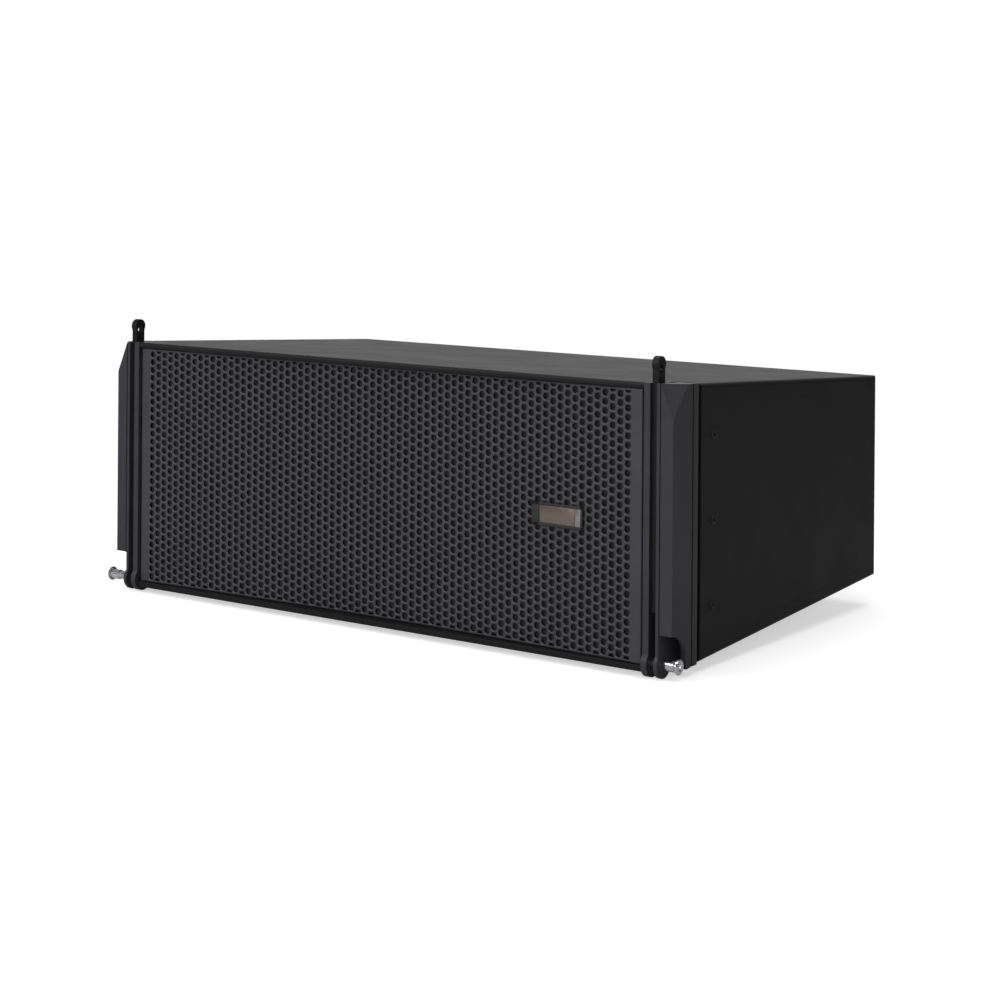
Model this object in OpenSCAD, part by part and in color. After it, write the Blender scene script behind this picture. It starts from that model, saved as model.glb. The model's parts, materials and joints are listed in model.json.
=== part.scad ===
// Line array loudspeaker element: two 10-inch class woofers and one compression driver on a slot
// waveguide, in a wedge-shaped plywood cabinet with steel rigging.
// Frame: origin at the middle of the front bottom edge, X to the right seen from the front,
// Y from the grille to the back, Z up. The front face is upright and the top and bottom slope.

/* [Cabinet] */
// Width over the rigging housings
cab_w = 770; // [760:2:800]
// Height of the front face
cab_h = 290; // [288:1:300]
// Depth from the front edge to the back face
cab_d = 473; // [460:1:500]
// Slope of the top and of the bottom, in degrees
wedge = 3.5; // [3:0.25:4]
// Plywood thickness
ply = 15; // [14:0.5:16]
// Rounding of the two upright back edges
back_r = 14; // [8:1:14]
// Rounding of the long edges of the top and bottom
edge_r = 5; // [3:0.5:8]
// Rounding of the top panel's front edge
front_r = 3; // [2:0.5:4]
// Thickness of the lip of top and bottom that covers the grille's edge
lip_t = 6; // [5:0.5:8]

/* [Grille] */
// Depth of the middle facet behind the front edge
grille_rec = 11; // [8:0.5:12]
// Width of the middle facet
facet_w = 150; // [140:2:160]
// Depth of the grille's two outer edges behind the front of the rigging
pan_front = 2; // [1:0.5:3]
// Sheet thickness
grille_t = 1.5; // [1:0.25:2]
// Badge width
badge_w = 64; // [50:1:80]

/* [Front rigging] */
// Width of one rigging housing
rig_w = 34; // [33:0.5:35]
// Depth of one rigging housing
rig_d = 50; // [48:1:52]
// Thickness of a link bar
bar_t = 7; // [6:0.5:8]
// Width of a link bar
bar_w = 13; // [12:0.5:14]
// Diameter of the round head of a link bar
bar_head_d = 16; // [15:0.5:17]
// Height of a raised link bar above the front edge
bar_rise = 26.5; // [24:0.5:32]
// Travel of a link bar down into its channel
bar_travel = 30; // [20:1:30]
// Diameter of the lock pins
pin_d = 8; // [8:0.5:9]

/* [Rear rigging] */
// Distance from the pivot of the splay arm to its farthest hole
arm_reach = 130; // [120:1:135]
// Change of splay from one hole to the next, in degrees
splay_step = 2; // [2:0.25:2.25]

/* [Drivers] */
// Outer diameter of a woofer frame
woofer_d = 250; // [246:1:250]
// Distance of a woofer's axis from the middle
woofer_x = 205; // [203:1:206]
// Outer diameter of a reflex port tube
port_d = 40; // [34:1:40]

/* [Hidden] */
$fn = 64;
eps = 0.1;           // overshoot of a cutter past the surface it opens
gap = 0.05;          // radial clearance of a shaft in its hole
glue = 0.03;         // glue line between the sloping panels and what stands between them
mid_z = cab_h / 2;   // height of every driver's axis

// Cabinet, worked out from the driving dimensions
half_w = cab_w / 2;
in_x = half_w - rig_w;        // inner face of a rigging housing
recess_y = rig_d + 6;         // back of the corner recess that takes a housing
front_y = 15;                 // front edge of the plywood, behind the grille pan
back_in_y = cab_d - ply;      // inner face of the rear panel
slant = tan(wedge);
skin = ply / cos(wedge);      // height of the sloping plywood, measured upright
function low_z(y) = y * slant;
function high_z(y) = cab_h - y * slant;

// A wedge-shaped block across the whole width, standing in by inset from the outer top and bottom
module wedge_block(inset, y0 = -1, y1 = cab_d) {
    translate([-cab_w, 0, 0])
        rotate([90, 0, 90])
            linear_extrude(2 * cab_w)
                polygon([[y0, low_z(y0) + inset], [y1, low_z(y1) + inset],
                         [y1, high_z(y1) - inset], [y0, high_z(y0) - inset]]);
}

// The wedge-shaped space between the top and the bottom panel
module inner_block() {
    wedge_block(skin + glue);
}

// The outline of the cabinet seen from above, without the two front recesses
module cabinet_plan() {
    difference() {
        union() {
            translate([-half_w, front_y])
                square([cab_w, cab_d - front_y - back_r]);
            translate([-half_w + back_r, front_y])
                square([cab_w - 2 * back_r, cab_d - front_y]);
            for (sx = [-1, 1])
                translate([sx * (half_w - back_r), cab_d - back_r])
                    circle(back_r);
        }
        for (sx = [-1, 1])
            translate([sx * (in_x + rig_w) - rig_w, front_y - eps])
                square([2 * rig_w, recess_y - front_y + eps]);
    }
}

// A solid of the given outline, as tall as the cabinet
module column() {
    translate([0, 0, -1])
        linear_extrude(cab_h + 2)
            children();
}

// What a router takes off the two side edges and the back edge of a sheet
module top_edge_cut() {
    for (sx = [0, 1])
        mirror([sx, 0, 0])
            translate([0, 0, cab_h])
                rotate([-wedge, 0, 0])
                    translate([half_w - edge_r, 0, -edge_r])
                        difference() {
                            cube([edge_r + 1, cab_d + 20, edge_r + 1]);
                            translate([0, -1, 0])
                                rotate([-90, 0, 0])
                                    cylinder(r = edge_r, h = cab_d + 22);
                        }
    centre_y = cab_d - edge_r;
    translate([-half_w - 1, centre_y, high_z(centre_y) - edge_r / cos(wedge)])
        difference() {
            translate([0, edge_r * sin(wedge), 0])
                cube([cab_w + 2, edge_r + 1, edge_r + 1]);
            translate([-1, 0, 0])
                rotate([0, 90, 0])
                    cylinder(r = edge_r, h = cab_w + 4);
        }
}

// What a router takes off the front edge of the top panel
module front_edge_cut() {
    translate([-half_w - 1, front_r, high_z(front_r) - front_r / cos(wedge)])
        difference() {
            translate([0, -front_r - 1, 0])
                cube([cab_w + 2, front_r + 1 + front_r * sin(wedge), front_r + 1]);
            translate([-1, 0, 0])
                rotate([0, 90, 0])
                    cylinder(r = front_r, h = cab_w + 4);
        }
}

// A plywood sheet with a rebate in front that leaves a thin lip over the grille
module sheet() {
    color([0.13, 0.13, 0.135])
        difference() {
            intersection() {
                wedge_block(0);
                column() {
                    cabinet_plan();
                    translate([-in_x, 0])
                        square([2 * in_x, front_y + 1]);
                }
            }
            wedge_block(skin, -5, cab_d + 5);
            intersection() {
                wedge_block(lip_t, -5, cab_d);
                translate([-cab_w, -5, 0])
                    cube([2 * cab_w, front_y + 5, 2 * cab_h]);
            }
            translate([-cab_w, -1, -1])
                cube([2 * cab_w, cab_d + 10, mid_z + 1]);
            top_edge_cut();
        }
}

module top_panel() {
    color([0.13, 0.13, 0.135])
        difference() {
            sheet();
            front_edge_cut();
        }
}

// The bottom: the same sheet upside down, its front edge left sharp
module bottom_panel() {
    translate([0, 0, cab_h])
        mirror([0, 0, 1])
            sheet();
}

// Heights of the three screws that hold each housing, seen on the cabinet's side
rig_screw_y = recess_y + 25;
rig_screw_z = [mid_z - 87, mid_z, mid_z + 87];
rig_screw_r = 2.5;

module right_side_panel() {
    wall_x = in_x - ply;
    color([0.12, 0.12, 0.125])
        difference() {
            intersection() {
                inner_block();
                column()
                    intersection() {
                        cabinet_plan();
                        union() {
                            translate([half_w - ply, recess_y])
                                square([ply, cab_d]);
                            translate([wall_x, recess_y])
                                square([half_w - wall_x, ply]);
                            translate([wall_x, front_y])
                                square([ply, recess_y]);
                        }
                    }
            }
            for (z = rig_screw_z)
                translate([half_w - ply - eps, rig_screw_y, z])
                    rotate([0, 90, 0])
                        cylinder(r = rig_screw_r + gap, h = ply + 1);
        }
}

module left_side_panel() {
    mirror([1, 0, 0])
        right_side_panel();
}

// Opening behind the input plate, and the place of the plate on the back
input_x = 215;
input_w = 130;
input_h = 96;
hatch_w = 104;
hatch_h = 70;

module rear_panel() {
    color([0.12, 0.12, 0.125])
        difference() {
            intersection() {
                inner_block();
                translate([-(half_w - ply), back_in_y, 0])
                    cube([2 * (half_w - ply), ply, cab_h]);
            }
            translate([input_x - hatch_w / 2, back_in_y - eps, mid_z - hatch_h / 2])
                cube([hatch_w, ply + 1, hatch_h]);
            rear_spine_screw_at()
                cylinder(r = spine_screw_r + gap, h = 2 * spine_screw_l, center = true);
        }
}

// Baffle: the board that carries the drivers
baffle_y = 40;
baffle_t = 18;
baffle_back = baffle_y + baffle_t;
woofer_cut_r = 115;
horn_cut_w = 116;
horn_cut_h = 224;
port_x = 97;
port_z = 98;
port_r = port_d / 2;

module front_baffle() {
    half = in_x - ply;
    color([0.2, 0.17, 0.13])
        difference() {
            intersection() {
                inner_block();
                translate([-half, baffle_y, 0])
                    cube([2 * half, baffle_t, cab_h]);
            }
            for (sx = [-1, 1])
                translate([sx * woofer_x, baffle_y - eps, mid_z])
                    rotate([-90, 0, 0])
                        cylinder(r = woofer_cut_r, h = baffle_t + 1);
            translate([-horn_cut_w / 2, baffle_y - eps, mid_z - horn_cut_h / 2])
                cube([horn_cut_w, baffle_t + 1, horn_cut_h]);
            for (sx = [-1, 1], sz = [-1, 1])
                translate([sx * port_x, baffle_y - eps, mid_z + sz * port_z])
                    rotate([-90, 0, 0])
                        cylinder(r = port_r + gap, h = baffle_t + 1);
            driver_screw_at()
                cylinder(r = driver_screw_r + gap, h = 2 * driver_screw_l, center = true);
        }
}

// Two upright boards between the woofer chambers and the high-frequency driver
brace_x = 62;
brace_t = 12;

module cabinet_braces() {
    color([0.55, 0.43, 0.28])
        for (sx = [0, 1])
            mirror([sx, 0, 0])
                difference() {
                    intersection() {
                        inner_block();
                        translate([brace_x, baffle_back, 0])
                            cube([brace_t, back_in_y - baffle_back, cab_h]);
                    }
                    for (y = [150, 260, 370])
                        translate([brace_x - eps, y, mid_z])
                            rotate([0, 90, 0])
                                cylinder(r = 44, h = brace_t + 1);
                }
}

// Four felt pads: one under the top and one on the side wall of each chamber
module acoustic_lining() {
    pad = 12;
    color([0.35, 0.35, 0.36])
        for (sx = [0, 1])
            mirror([sx, 0, 0]) {
                intersection() {
                    difference() {
                        wedge_block(skin + gap);
                        wedge_block(skin + pad, -5, cab_d + 5);
                    }
                    translate([100, 190, mid_z])
                        cube([240, 240, mid_z]);
                }
                translate([half_w - ply - pad - gap, 100, 60])
                    cube([pad, 330, 160]);
            }
}

// Grille: a shallow steel pan whose front is folded into three flat facets
pan_x = in_x - 3;
pan_y = front_y - 0.2;
pan_inset = lip_t + 0.3;

// The pan seen from above, set back by t from the outside
module pan_plan(t, back) {
    polygon([[-pan_x + t, pan_front + t], [-facet_w / 2, grille_rec + t],
             [facet_w / 2, grille_rec + t], [pan_x - t, pan_front + t],
             [pan_x - t, back], [-pan_x + t, back]]);
}

module grille() {
    color([0.19, 0.19, 0.2])
        difference() {
            intersection() {
                wedge_block(pan_inset);
                column() pan_plan(0, pan_y);
            }
            intersection() {
                wedge_block(pan_inset + grille_t, -5, cab_d + 5);
                column() pan_plan(grille_t, pan_y + 1);
            }
        }
}

module grille_foam() {
    near = grille_t + 0.5;
    edge_y = pan_front + near;
    thick = 6;
    foam_x = in_x - ply - 2;
    color([0.05, 0.05, 0.05])
        intersection() {
            wedge_block(skin + 1);
            column()
                polygon([[-foam_x, edge_y + 0.5], [-facet_w / 2, grille_rec + near],
                         [facet_w / 2, grille_rec + near], [foam_x, edge_y + 0.5],
                         [foam_x, edge_y + thick], [facet_w / 2, grille_rec + near + thick],
                         [-facet_w / 2, grille_rec + near + thick], [-foam_x, edge_y + thick]]);
        }
}

// Plain badge, riveted flat on the right facet
badge_x = 245;
badge_h = 24;
badge_t = 1.6;
facet_run = pan_x - facet_w / 2;       // how far a side facet runs, and how far it falls back
facet_fall = grille_rec - pan_front;
facet_tilt = atan(facet_fall / facet_run);

module badge_plate() {
    facet_y = pan_front + facet_fall * (pan_x - badge_x) / facet_run;
    color([0.62, 0.58, 0.52])
        translate([badge_x, facet_y, mid_z])
            rotate([0, 0, -facet_tilt])
                translate([-badge_w / 2, -badge_t - 0.02, -badge_h / 2])
                    cube([badge_w, badge_t, badge_h]);
}

// Front rigging, drawn on the right and mirrored for the left
wall = 7;                              // inner steel wall of the channel
outer_wall = 4;
chan_w = bar_t + 1;                    // space between the two walls
chan_x0 = in_x + wall;                 // the channel's two side faces
chan_x1 = chan_x0 + chan_w;
rail_x = chan_x1 + outer_wall;         // where the outer rail starts
bar_x = chan_x1 - 0.5 - bar_t;         // the bar slides along the outer wall
plate = 4;                             // steel plate of the rail
head_w = bar_head_d / 2;               // radius of the bar's head
bar_y = 2 + head_w;                    // middle of the bar, from the front
chan_back = bar_y + head_w + 1;
pin_r = pin_d / 2;
pin_z = 8;                             // height of the lock pins' axis
lug_r = 14;                            // round lugs of the two walls, about the pin
notch_r = 28.5;                        // round cut in the rail that clears the pin's head
notch_z = 10.5;
bolt_r = 4;
bolt_z = [120, 225];

module x_rod(x0, x1, y, z, r) {
    translate([x0, y, z])
        rotate([0, 90, 0])
            cylinder(r = r, h = x1 - x0);
}

// The slanting cut at the top outer corner of the rail
module rail_corner_cut() {
    cut_x = 15;
    cut_y = 30;
    cut_z = 36;
    corner = [half_w + 0.01, -0.01, cab_h + 0.01];
    polyhedron(
        points = [corner, corner + [-cut_x, 0, 0], corner + [0, cut_y, 0], corner + [0, 0, -cut_z]],
        faces = [[0, 1, 2], [0, 3, 1], [0, 2, 3], [1, 3, 2]]
    );
}

// The folded and welded plates of a housing, seen from above
module housing_plan() {
    translate([in_x, 0])
        square([wall, rig_d]);
    translate([chan_x1, 0])
        square([outer_wall, rig_d]);
    translate([in_x, chan_back])
        square([rail_x - in_x, wall]);
    translate([in_x, rig_d - wall])
        square([rig_w, wall]);
    translate([chan_x1, 0])
        square([half_w - chan_x1, plate]);
    translate([half_w - plate, 0])
        square([plate, rig_d]);
}

module right_rigging_housing() {
    block_h = 46;
    color([0.17, 0.17, 0.175])
        difference() {
            union() {
                intersection() {
                    wedge_block(0);
                    union() {
                        column() housing_plan();
                        translate([chan_x1 + 1, 0, cab_h - block_h])
                            cube([half_w - chan_x1 - 1, rig_d, block_h + 1]);
                    }
                }
                // The walls end in round lugs that hang a little below the cabinet
                x_rod(in_x, chan_x0, bar_y, pin_z, lug_r);
                x_rod(chan_x1, rail_x, bar_y, pin_z, lug_r);
            }
            rail_corner_cut();
            // Round cut for the pin's head, open downwards
            x_rod(rail_x, half_w + 1, 0, notch_z, notch_r);
            translate([rail_x, -1, -2])
                cube([half_w, notch_r + 1, notch_z + 2]);
            // What stands in front of the lugs
            translate([in_x - 1, 0, 0])
                difference() {
                    translate([0, -1, -2])
                        cube([rail_x - in_x + 1.5, bar_y + 1, pin_z + 2]);
                    x_rod(-1, rail_x, bar_y, pin_z, lug_r);
                }
            // Two shallow grooves: beside the rail in front, and along its outer face
            translate([rail_x - 0.5, -1, -2])
                cube([1.5, 2.5, cab_h + 4]);
            translate([half_w - 1.5, 38, -2])
                cube([2, 3, cab_h + 4]);
            x_rod(in_x - 1, rail_x + 1, bar_y, pin_z, pin_r + gap);
            for (z = bolt_z)
                x_rod(in_x - 1, rail_x + 1, bar_y, z, bolt_r + gap);
        }
}

module left_rigging_housing() {
    mirror([1, 0, 0])
        right_rigging_housing();
}

eye_z = cab_h + 14;                    // eye of the raised link bar
eye_r = 4.1;

module right_link_bar() {
    top_z = cab_h + bar_rise - head_w;
    foot_z = bar_rise + bar_travel + 3.5;
    slot_r = bolt_r + 0.2;
    color([0.07, 0.07, 0.07])
        difference() {
            union() {
                translate([bar_x, bar_y - bar_w / 2, foot_z])
                    cube([bar_t, bar_w, top_z - foot_z]);
                x_rod(bar_x, bar_x + bar_t, bar_y, top_z, head_w);
            }
            x_rod(bar_x - 1, bar_x + bar_t + 1, bar_y, eye_z, eye_r);
            for (z = bolt_z) {
                x_rod(bar_x - 1, bar_x + bar_t + 1, bar_y, z, slot_r);
                x_rod(bar_x - 1, bar_x + bar_t + 1, bar_y, z + bar_travel, slot_r);
                translate([bar_x - 1, bar_y - slot_r, z])
                    cube([bar_t + 2, 2 * slot_r, bar_travel]);
            }
        }
}

module left_link_bar() {
    mirror([1, 0, 0])
        right_link_bar();
}

// Quick-release pin along X: shaft, shoulder, body, neck and a thin round head, with a bore for its
// push button
shoulder_l = 4;
shoulder_r = 4.6;
pin_body_l = 10;
pin_body_r = 5.8;
pin_neck_l = 2.5;
pin_neck_r = 4.2;
head_l = 2.5;
head_r = 8;
button_r = 2.8;
button_out = 2.5;
button_depth = 5;
left_pin_out = 14;                     // how far the left pin stands drawn out at rest
neck_x = shoulder_l + pin_body_l;
head_x = neck_x + pin_neck_l;
head_end = head_x + head_l;

module lock_pin(shaft_l) {
    difference() {
        union() {
            x_rod(-shaft_l, 0.5, 0, 0, pin_r);
            x_rod(0.2, shoulder_l + 0.5, 0, 0, shoulder_r);
            x_rod(shoulder_l, neck_x, 0, 0, pin_body_r);
            x_rod(neck_x - 0.5, head_x + 0.5, 0, 0, pin_neck_r);
            x_rod(head_x, head_end - 0.5, 0, 0, head_r);
            x_rod(head_end - 1, head_end, 0, 0, head_r - 0.5);
        }
        x_rod(head_end - button_depth - button_out, head_end + 1, 0, 0, button_r + gap);
    }
}

module pin_button() {
    x_rod(head_end - button_depth, head_end + button_out, 0, 0, button_r);
}

module right_lock_pin() {
    color([0.85, 0.85, 0.86])
        translate([rail_x, bar_y, pin_z])
            lock_pin(rail_x - in_x - 0.5);
}

module left_lock_pin() {
    mirror([1, 0, 0])
        translate([left_pin_out, 0, 0])
            right_lock_pin();
}

module right_pin_button() {
    color([0.7, 0.7, 0.72])
        translate([rail_x, bar_y, pin_z])
            pin_button();
}

module left_pin_button() {
    mirror([1, 0, 0])
        translate([left_pin_out, 0, 0])
            right_pin_button();
}

module link_guide_bolts() {
    color([0.3, 0.3, 0.32])
        for (sx = [0, 1], z = bolt_z)
            mirror([sx, 0, 0]) {
                x_rod(in_x + 0.5, rail_x + 1, bar_y, z, bolt_r);
                translate([rail_x, bar_y, z])
                    rotate([0, 90, 0])
                        cylinder(r = 6.5, h = 5, $fn = 6);
            }
}

module rigging_screws() {
    color([0.2, 0.2, 0.2])
        for (sx = [0, 1], z = rig_screw_z)
            mirror([sx, 0, 0]) {
                x_rod(half_w - ply + 1, half_w + 0.5, rig_screw_y, z, rig_screw_r);
                x_rod(half_w, half_w + 1.6, rig_screw_y, z, 4.5);
            }
}

// Rear rigging: a base plate with an upper clevis for the splay arm's pivot and a lower clevis
// that takes the arm of the cabinet below
spine_z0 = 50;
spine_z1 = 240;
cheek_t = 5;
cheek_h = 32;
arm_t = 8;
arm_w = 24;
cheek_x = arm_t / 2 + 1;
base_t = 4;
base_w = 70;
spine_y = cab_d + base_t;
arm_y = spine_y + 18;
pivot_z = 222;
rear_pin_z = 66;
spine_screw_r = 2.5;
spine_screw_l = 12;

module rear_spine_screw_at() {
    for (sx = [-1, 1], z = [spine_z0 + 15, mid_z, spine_z1 - 15])
        translate([sx * 25, spine_y, z])
            rotate([90, 0, 0])
                children();
}

// Two cheeks, rounded about the pin they hold
module clevis(z) {
    for (x = [-cheek_x - cheek_t, cheek_x])
        translate([x, 0, 0]) {
            translate([0, spine_y - eps, z - cheek_h / 2])
                cube([cheek_t, arm_y - spine_y + eps, cheek_h]);
            x_rod(0, cheek_t, arm_y, z, cheek_h / 2);
        }
}

module rear_rigging_spine() {
    color([0.17, 0.17, 0.175])
        difference() {
            union() {
                translate([-base_w / 2, cab_d + 0.01, spine_z0])
                    cube([base_w, base_t - 0.01, spine_z1 - spine_z0]);
                for (z = [rear_pin_z, pivot_z])
                    clevis(z);
            }
            for (z = [rear_pin_z, pivot_z])
                x_rod(-base_w, base_w, arm_y, z, pin_r + gap);
            rear_spine_screw_at()
                cylinder(r = spine_screw_r + gap, h = 30, center = true);
        }
}

module rear_link_arm() {
    hole_step = cab_d * tan(splay_step);
    color([0.07, 0.07, 0.07])
        difference() {
            union() {
                translate([-arm_t / 2, arm_y - arm_w / 2, pivot_z - arm_reach])
                    cube([arm_t, arm_w, arm_reach]);
                for (z = [pivot_z, pivot_z - arm_reach])
                    x_rod(-arm_t / 2, arm_t / 2, arm_y, z, arm_w / 2);
            }
            x_rod(-arm_t, arm_t, arm_y, pivot_z, pin_r + gap);
            for (i = [0:3])
                x_rod(-arm_t, arm_t, arm_y, pivot_z - arm_reach + i * hole_step, eye_r);
        }
}

module rear_pivot_bolt() {
    out_x = cheek_x + cheek_t;
    color([0.3, 0.3, 0.32]) {
        x_rod(-out_x - 2, out_x + 2, arm_y, pivot_z, pin_r);
        for (x = [-out_x - 6, out_x])
            translate([x, arm_y, pivot_z])
                rotate([0, 90, 0])
                    cylinder(r = 7.5, h = 6, $fn = 6);
    }
}

module rear_lock_pin() {
    color([0.85, 0.85, 0.86])
        translate([cheek_x + cheek_t, arm_y, rear_pin_z])
            lock_pin(2 * (cheek_x + cheek_t) + 2);
}

module rear_pin_button() {
    color([0.7, 0.7, 0.72])
        translate([cheek_x + cheek_t, arm_y, rear_pin_z])
            pin_button();
}

// Woofer, drawn round +Z with z = 0 on the front of the baffle and z growing to the back
frame_r = woofer_d / 2;
flange_t = 5;
cone_r = 94;                           // where the cone meets the surround
roll_r = 6;                            // half the width of the surround's roll
coil_r = 31.4;
coil_t = 1.2;
seat_z = 62;                           // where the motor bolts to the basket

module at_woofer(side) {
    translate([side * woofer_x, baffle_y, mid_z])
        rotate([-90, 0, 0])
            children();
}

module woofer_basket() {
    color([0.25, 0.25, 0.26])
        difference() {
            rotate_extrude()
                polygon([[102, -flange_t], [frame_r, -flange_t], [frame_r, 0], [113, 0],
                         [66, seat_z + 4], [36, seat_z + 4], [36, seat_z], [63, seat_z],
                         [109, -1], [102, -1]]);
            for (i = [0:5])
                rotate([0, 0, i * 60])
                    translate([20, -24, 10])
                        cube([100, 48, seat_z - 14]);
            for (i = [0:7])
                rotate([0, 0, (i + 0.5) * 45])
                    translate([driver_screw_pcr, 0, -flange_t - 1])
                        cylinder(r = driver_screw_r + gap, h = flange_t + 2);
        }
}

module ring(r0, r1, z0, z1) {
    rotate_extrude()
        translate([r0, z0])
            square([r1 - r0, z1 - z0]);
}

top_plate_z = seat_z + 4;
magnet_z = top_plate_z + 8;
back_plate_z = magnet_z + 18;

module woofer_top_plate() {
    color([0.6, 0.6, 0.62])
        ring(coil_r + coil_t + 1, 63, top_plate_z, magnet_z);
}

module woofer_magnet() {
    color([0.2, 0.2, 0.21])
        ring(40, 75, magnet_z, back_plate_z);
}

module woofer_pole_piece() {
    color([0.6, 0.6, 0.62])
        rotate_extrude()
            polygon([[8, top_plate_z], [coil_r - 1, top_plate_z], [coil_r - 1, back_plate_z],
                     [72, back_plate_z], [72, back_plate_z + 8], [8, back_plate_z + 8]]);
}

module woofer_surround() {
    color([0.06, 0.06, 0.06])
        rotate_extrude() {
            mid_r = cone_r + 1 + roll_r;
            difference() {
                translate([mid_r, -flange_t - 1])
                    circle(roll_r);
                translate([mid_r, -flange_t - 1])
                    circle(roll_r - 1.2);
                translate([0, -flange_t - 1])
                    square([200, 20]);
            }
            translate([mid_r + roll_r - 1.2, -flange_t - 1.2])
                square([6, 1.15]);
            translate([mid_r - roll_r - 3, -flange_t - 1.2])
                square([4.2, 1.15]);
        }
}

// The cone hangs from the inner lip of the surround and ends on the coil former
neck_r = coil_r + coil_t + 0.05;
neck_z = 46;
lip_z = -flange_t;

module woofer_cone() {
    color([0.09, 0.09, 0.09])
        rotate_extrude()
            polygon([[neck_r, neck_z], [neck_r, neck_z + 1.5], [neck_r + 2, neck_z + 1.5],
                     [cone_r - 3, lip_z + 1.2], [cone_r, lip_z + 1.2], [cone_r, lip_z],
                     [cone_r - 4, lip_z]]);
}

// A shallow dome glued on the cone
module woofer_dust_cap() {
    cap_r = 44;
    dome_r = 62;
    rim_z = neck_z - (cap_r - neck_r) * (neck_z - lip_z) / (cone_r - 4 - neck_r) - 1;
    drop = sqrt(dome_r * dome_r - cap_r * cap_r);
    color([0.08, 0.08, 0.08])
        translate([0, 0, rim_z + drop])
            rotate_extrude()
                intersection() {
                    difference() {
                        circle(dome_r);
                        circle(dome_r - 1.2);
                    }
                    translate([0, -dome_r - 1])
                        square([cap_r, dome_r - drop + 1]);
                }
}

module woofer_voice_coil() {
    color([0.7, 0.4, 0.2])
        ring(coil_r, coil_r + coil_t, neck_z - 1, back_plate_z - 9);
}

module woofer_spider() {
    color([0.75, 0.6, 0.35])
        ring(coil_r + coil_t + 0.05, 62.5, seat_z - 1.3, seat_z - 0.1);
}

module left_woofer_basket() { at_woofer(-1) woofer_basket(); }
module left_woofer_top_plate() { at_woofer(-1) woofer_top_plate(); }
module left_woofer_magnet() { at_woofer(-1) woofer_magnet(); }
module left_woofer_pole_piece() { at_woofer(-1) woofer_pole_piece(); }
module left_woofer_surround() { at_woofer(-1) woofer_surround(); }
module left_woofer_spider() { at_woofer(-1) woofer_spider(); }
module left_woofer_cone() { at_woofer(-1) woofer_cone(); }
module left_woofer_dust_cap() { at_woofer(-1) woofer_dust_cap(); }
module left_woofer_voice_coil() { at_woofer(-1) woofer_voice_coil(); }
module right_woofer_basket() { at_woofer(1) woofer_basket(); }
module right_woofer_top_plate() { at_woofer(1) woofer_top_plate(); }
module right_woofer_magnet() { at_woofer(1) woofer_magnet(); }
module right_woofer_pole_piece() { at_woofer(1) woofer_pole_piece(); }
module right_woofer_surround() { at_woofer(1) woofer_surround(); }
module right_woofer_spider() { at_woofer(1) woofer_spider(); }
module right_woofer_cone() { at_woofer(1) woofer_cone(); }
module right_woofer_dust_cap() { at_woofer(1) woofer_dust_cap(); }
module right_woofer_voice_coil() { at_woofer(1) woofer_voice_coil(); }

// Screws of the woofers and of the waveguide's flange
driver_screw_r = 2.4;
driver_screw_l = 16;
driver_screw_pcr = frame_r - 5.5;

module driver_screw_at() {
    for (side = [-1, 1], i = [0:7])
        translate([side * woofer_x, baffle_y, mid_z])
            rotate([-90, 0, 0])
                rotate([0, 0, (i + 0.5) * 45])
                    translate([driver_screw_pcr, 0, 0])
                        children();
    for (sx = [-1, 1], z = [-80, 0, 80])
        translate([sx * (horn_w / 2 - 4), baffle_y, mid_z + z])
            rotate([-90, 0, 0])
                children();
}

module driver_screws() {
    color([0.25, 0.25, 0.25])
        driver_screw_at() {
            translate([0, 0, -flange_t - 0.5])
                cylinder(r = driver_screw_r, h = driver_screw_l + flange_t);
            translate([0, 0, -flange_t - 2.5])
                cylinder(r = 4, h = 2.5);
        }
}

module reflex_ports() {
    color([0.1, 0.1, 0.1])
        for (sx = [-1, 1], sz = [-1, 1])
            translate([sx * port_x, baffle_y, mid_z + sz * port_z])
                rotate([-90, 0, 0])
                    difference() {
                        cylinder(r = port_r, h = 110);
                        translate([0, 0, -1])
                            cylinder(r = port_r - 2, h = 112);
                    }
}

// Waveguide: a mouth that opens sideways from an upright slot, fed through a flat throat box
horn_w = 132;
horn_h = 236;
slot_w = 20;
slot_y = 100;
throat_y = 168;
horn_end_y = 182;
throat_r = 18;
horn_skin = 4;
box_h = 200;

// The flare seen from above: its walls are arcs that leave the slot straight ahead
module flare_plan(grow) {
    mouth = horn_cut_w / 2 - horn_skin - 1;
    arc_r = 80;
    difference() {
        translate([-mouth - grow, baffle_y - flange_t - 1])
            square([2 * (mouth + grow), slot_y - baffle_y + flange_t + 1]);
        for (sx = [-1, 1])
            translate([sx * (slot_w / 2 + grow + arc_r), slot_y])
                circle(arc_r);
    }
}

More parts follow.
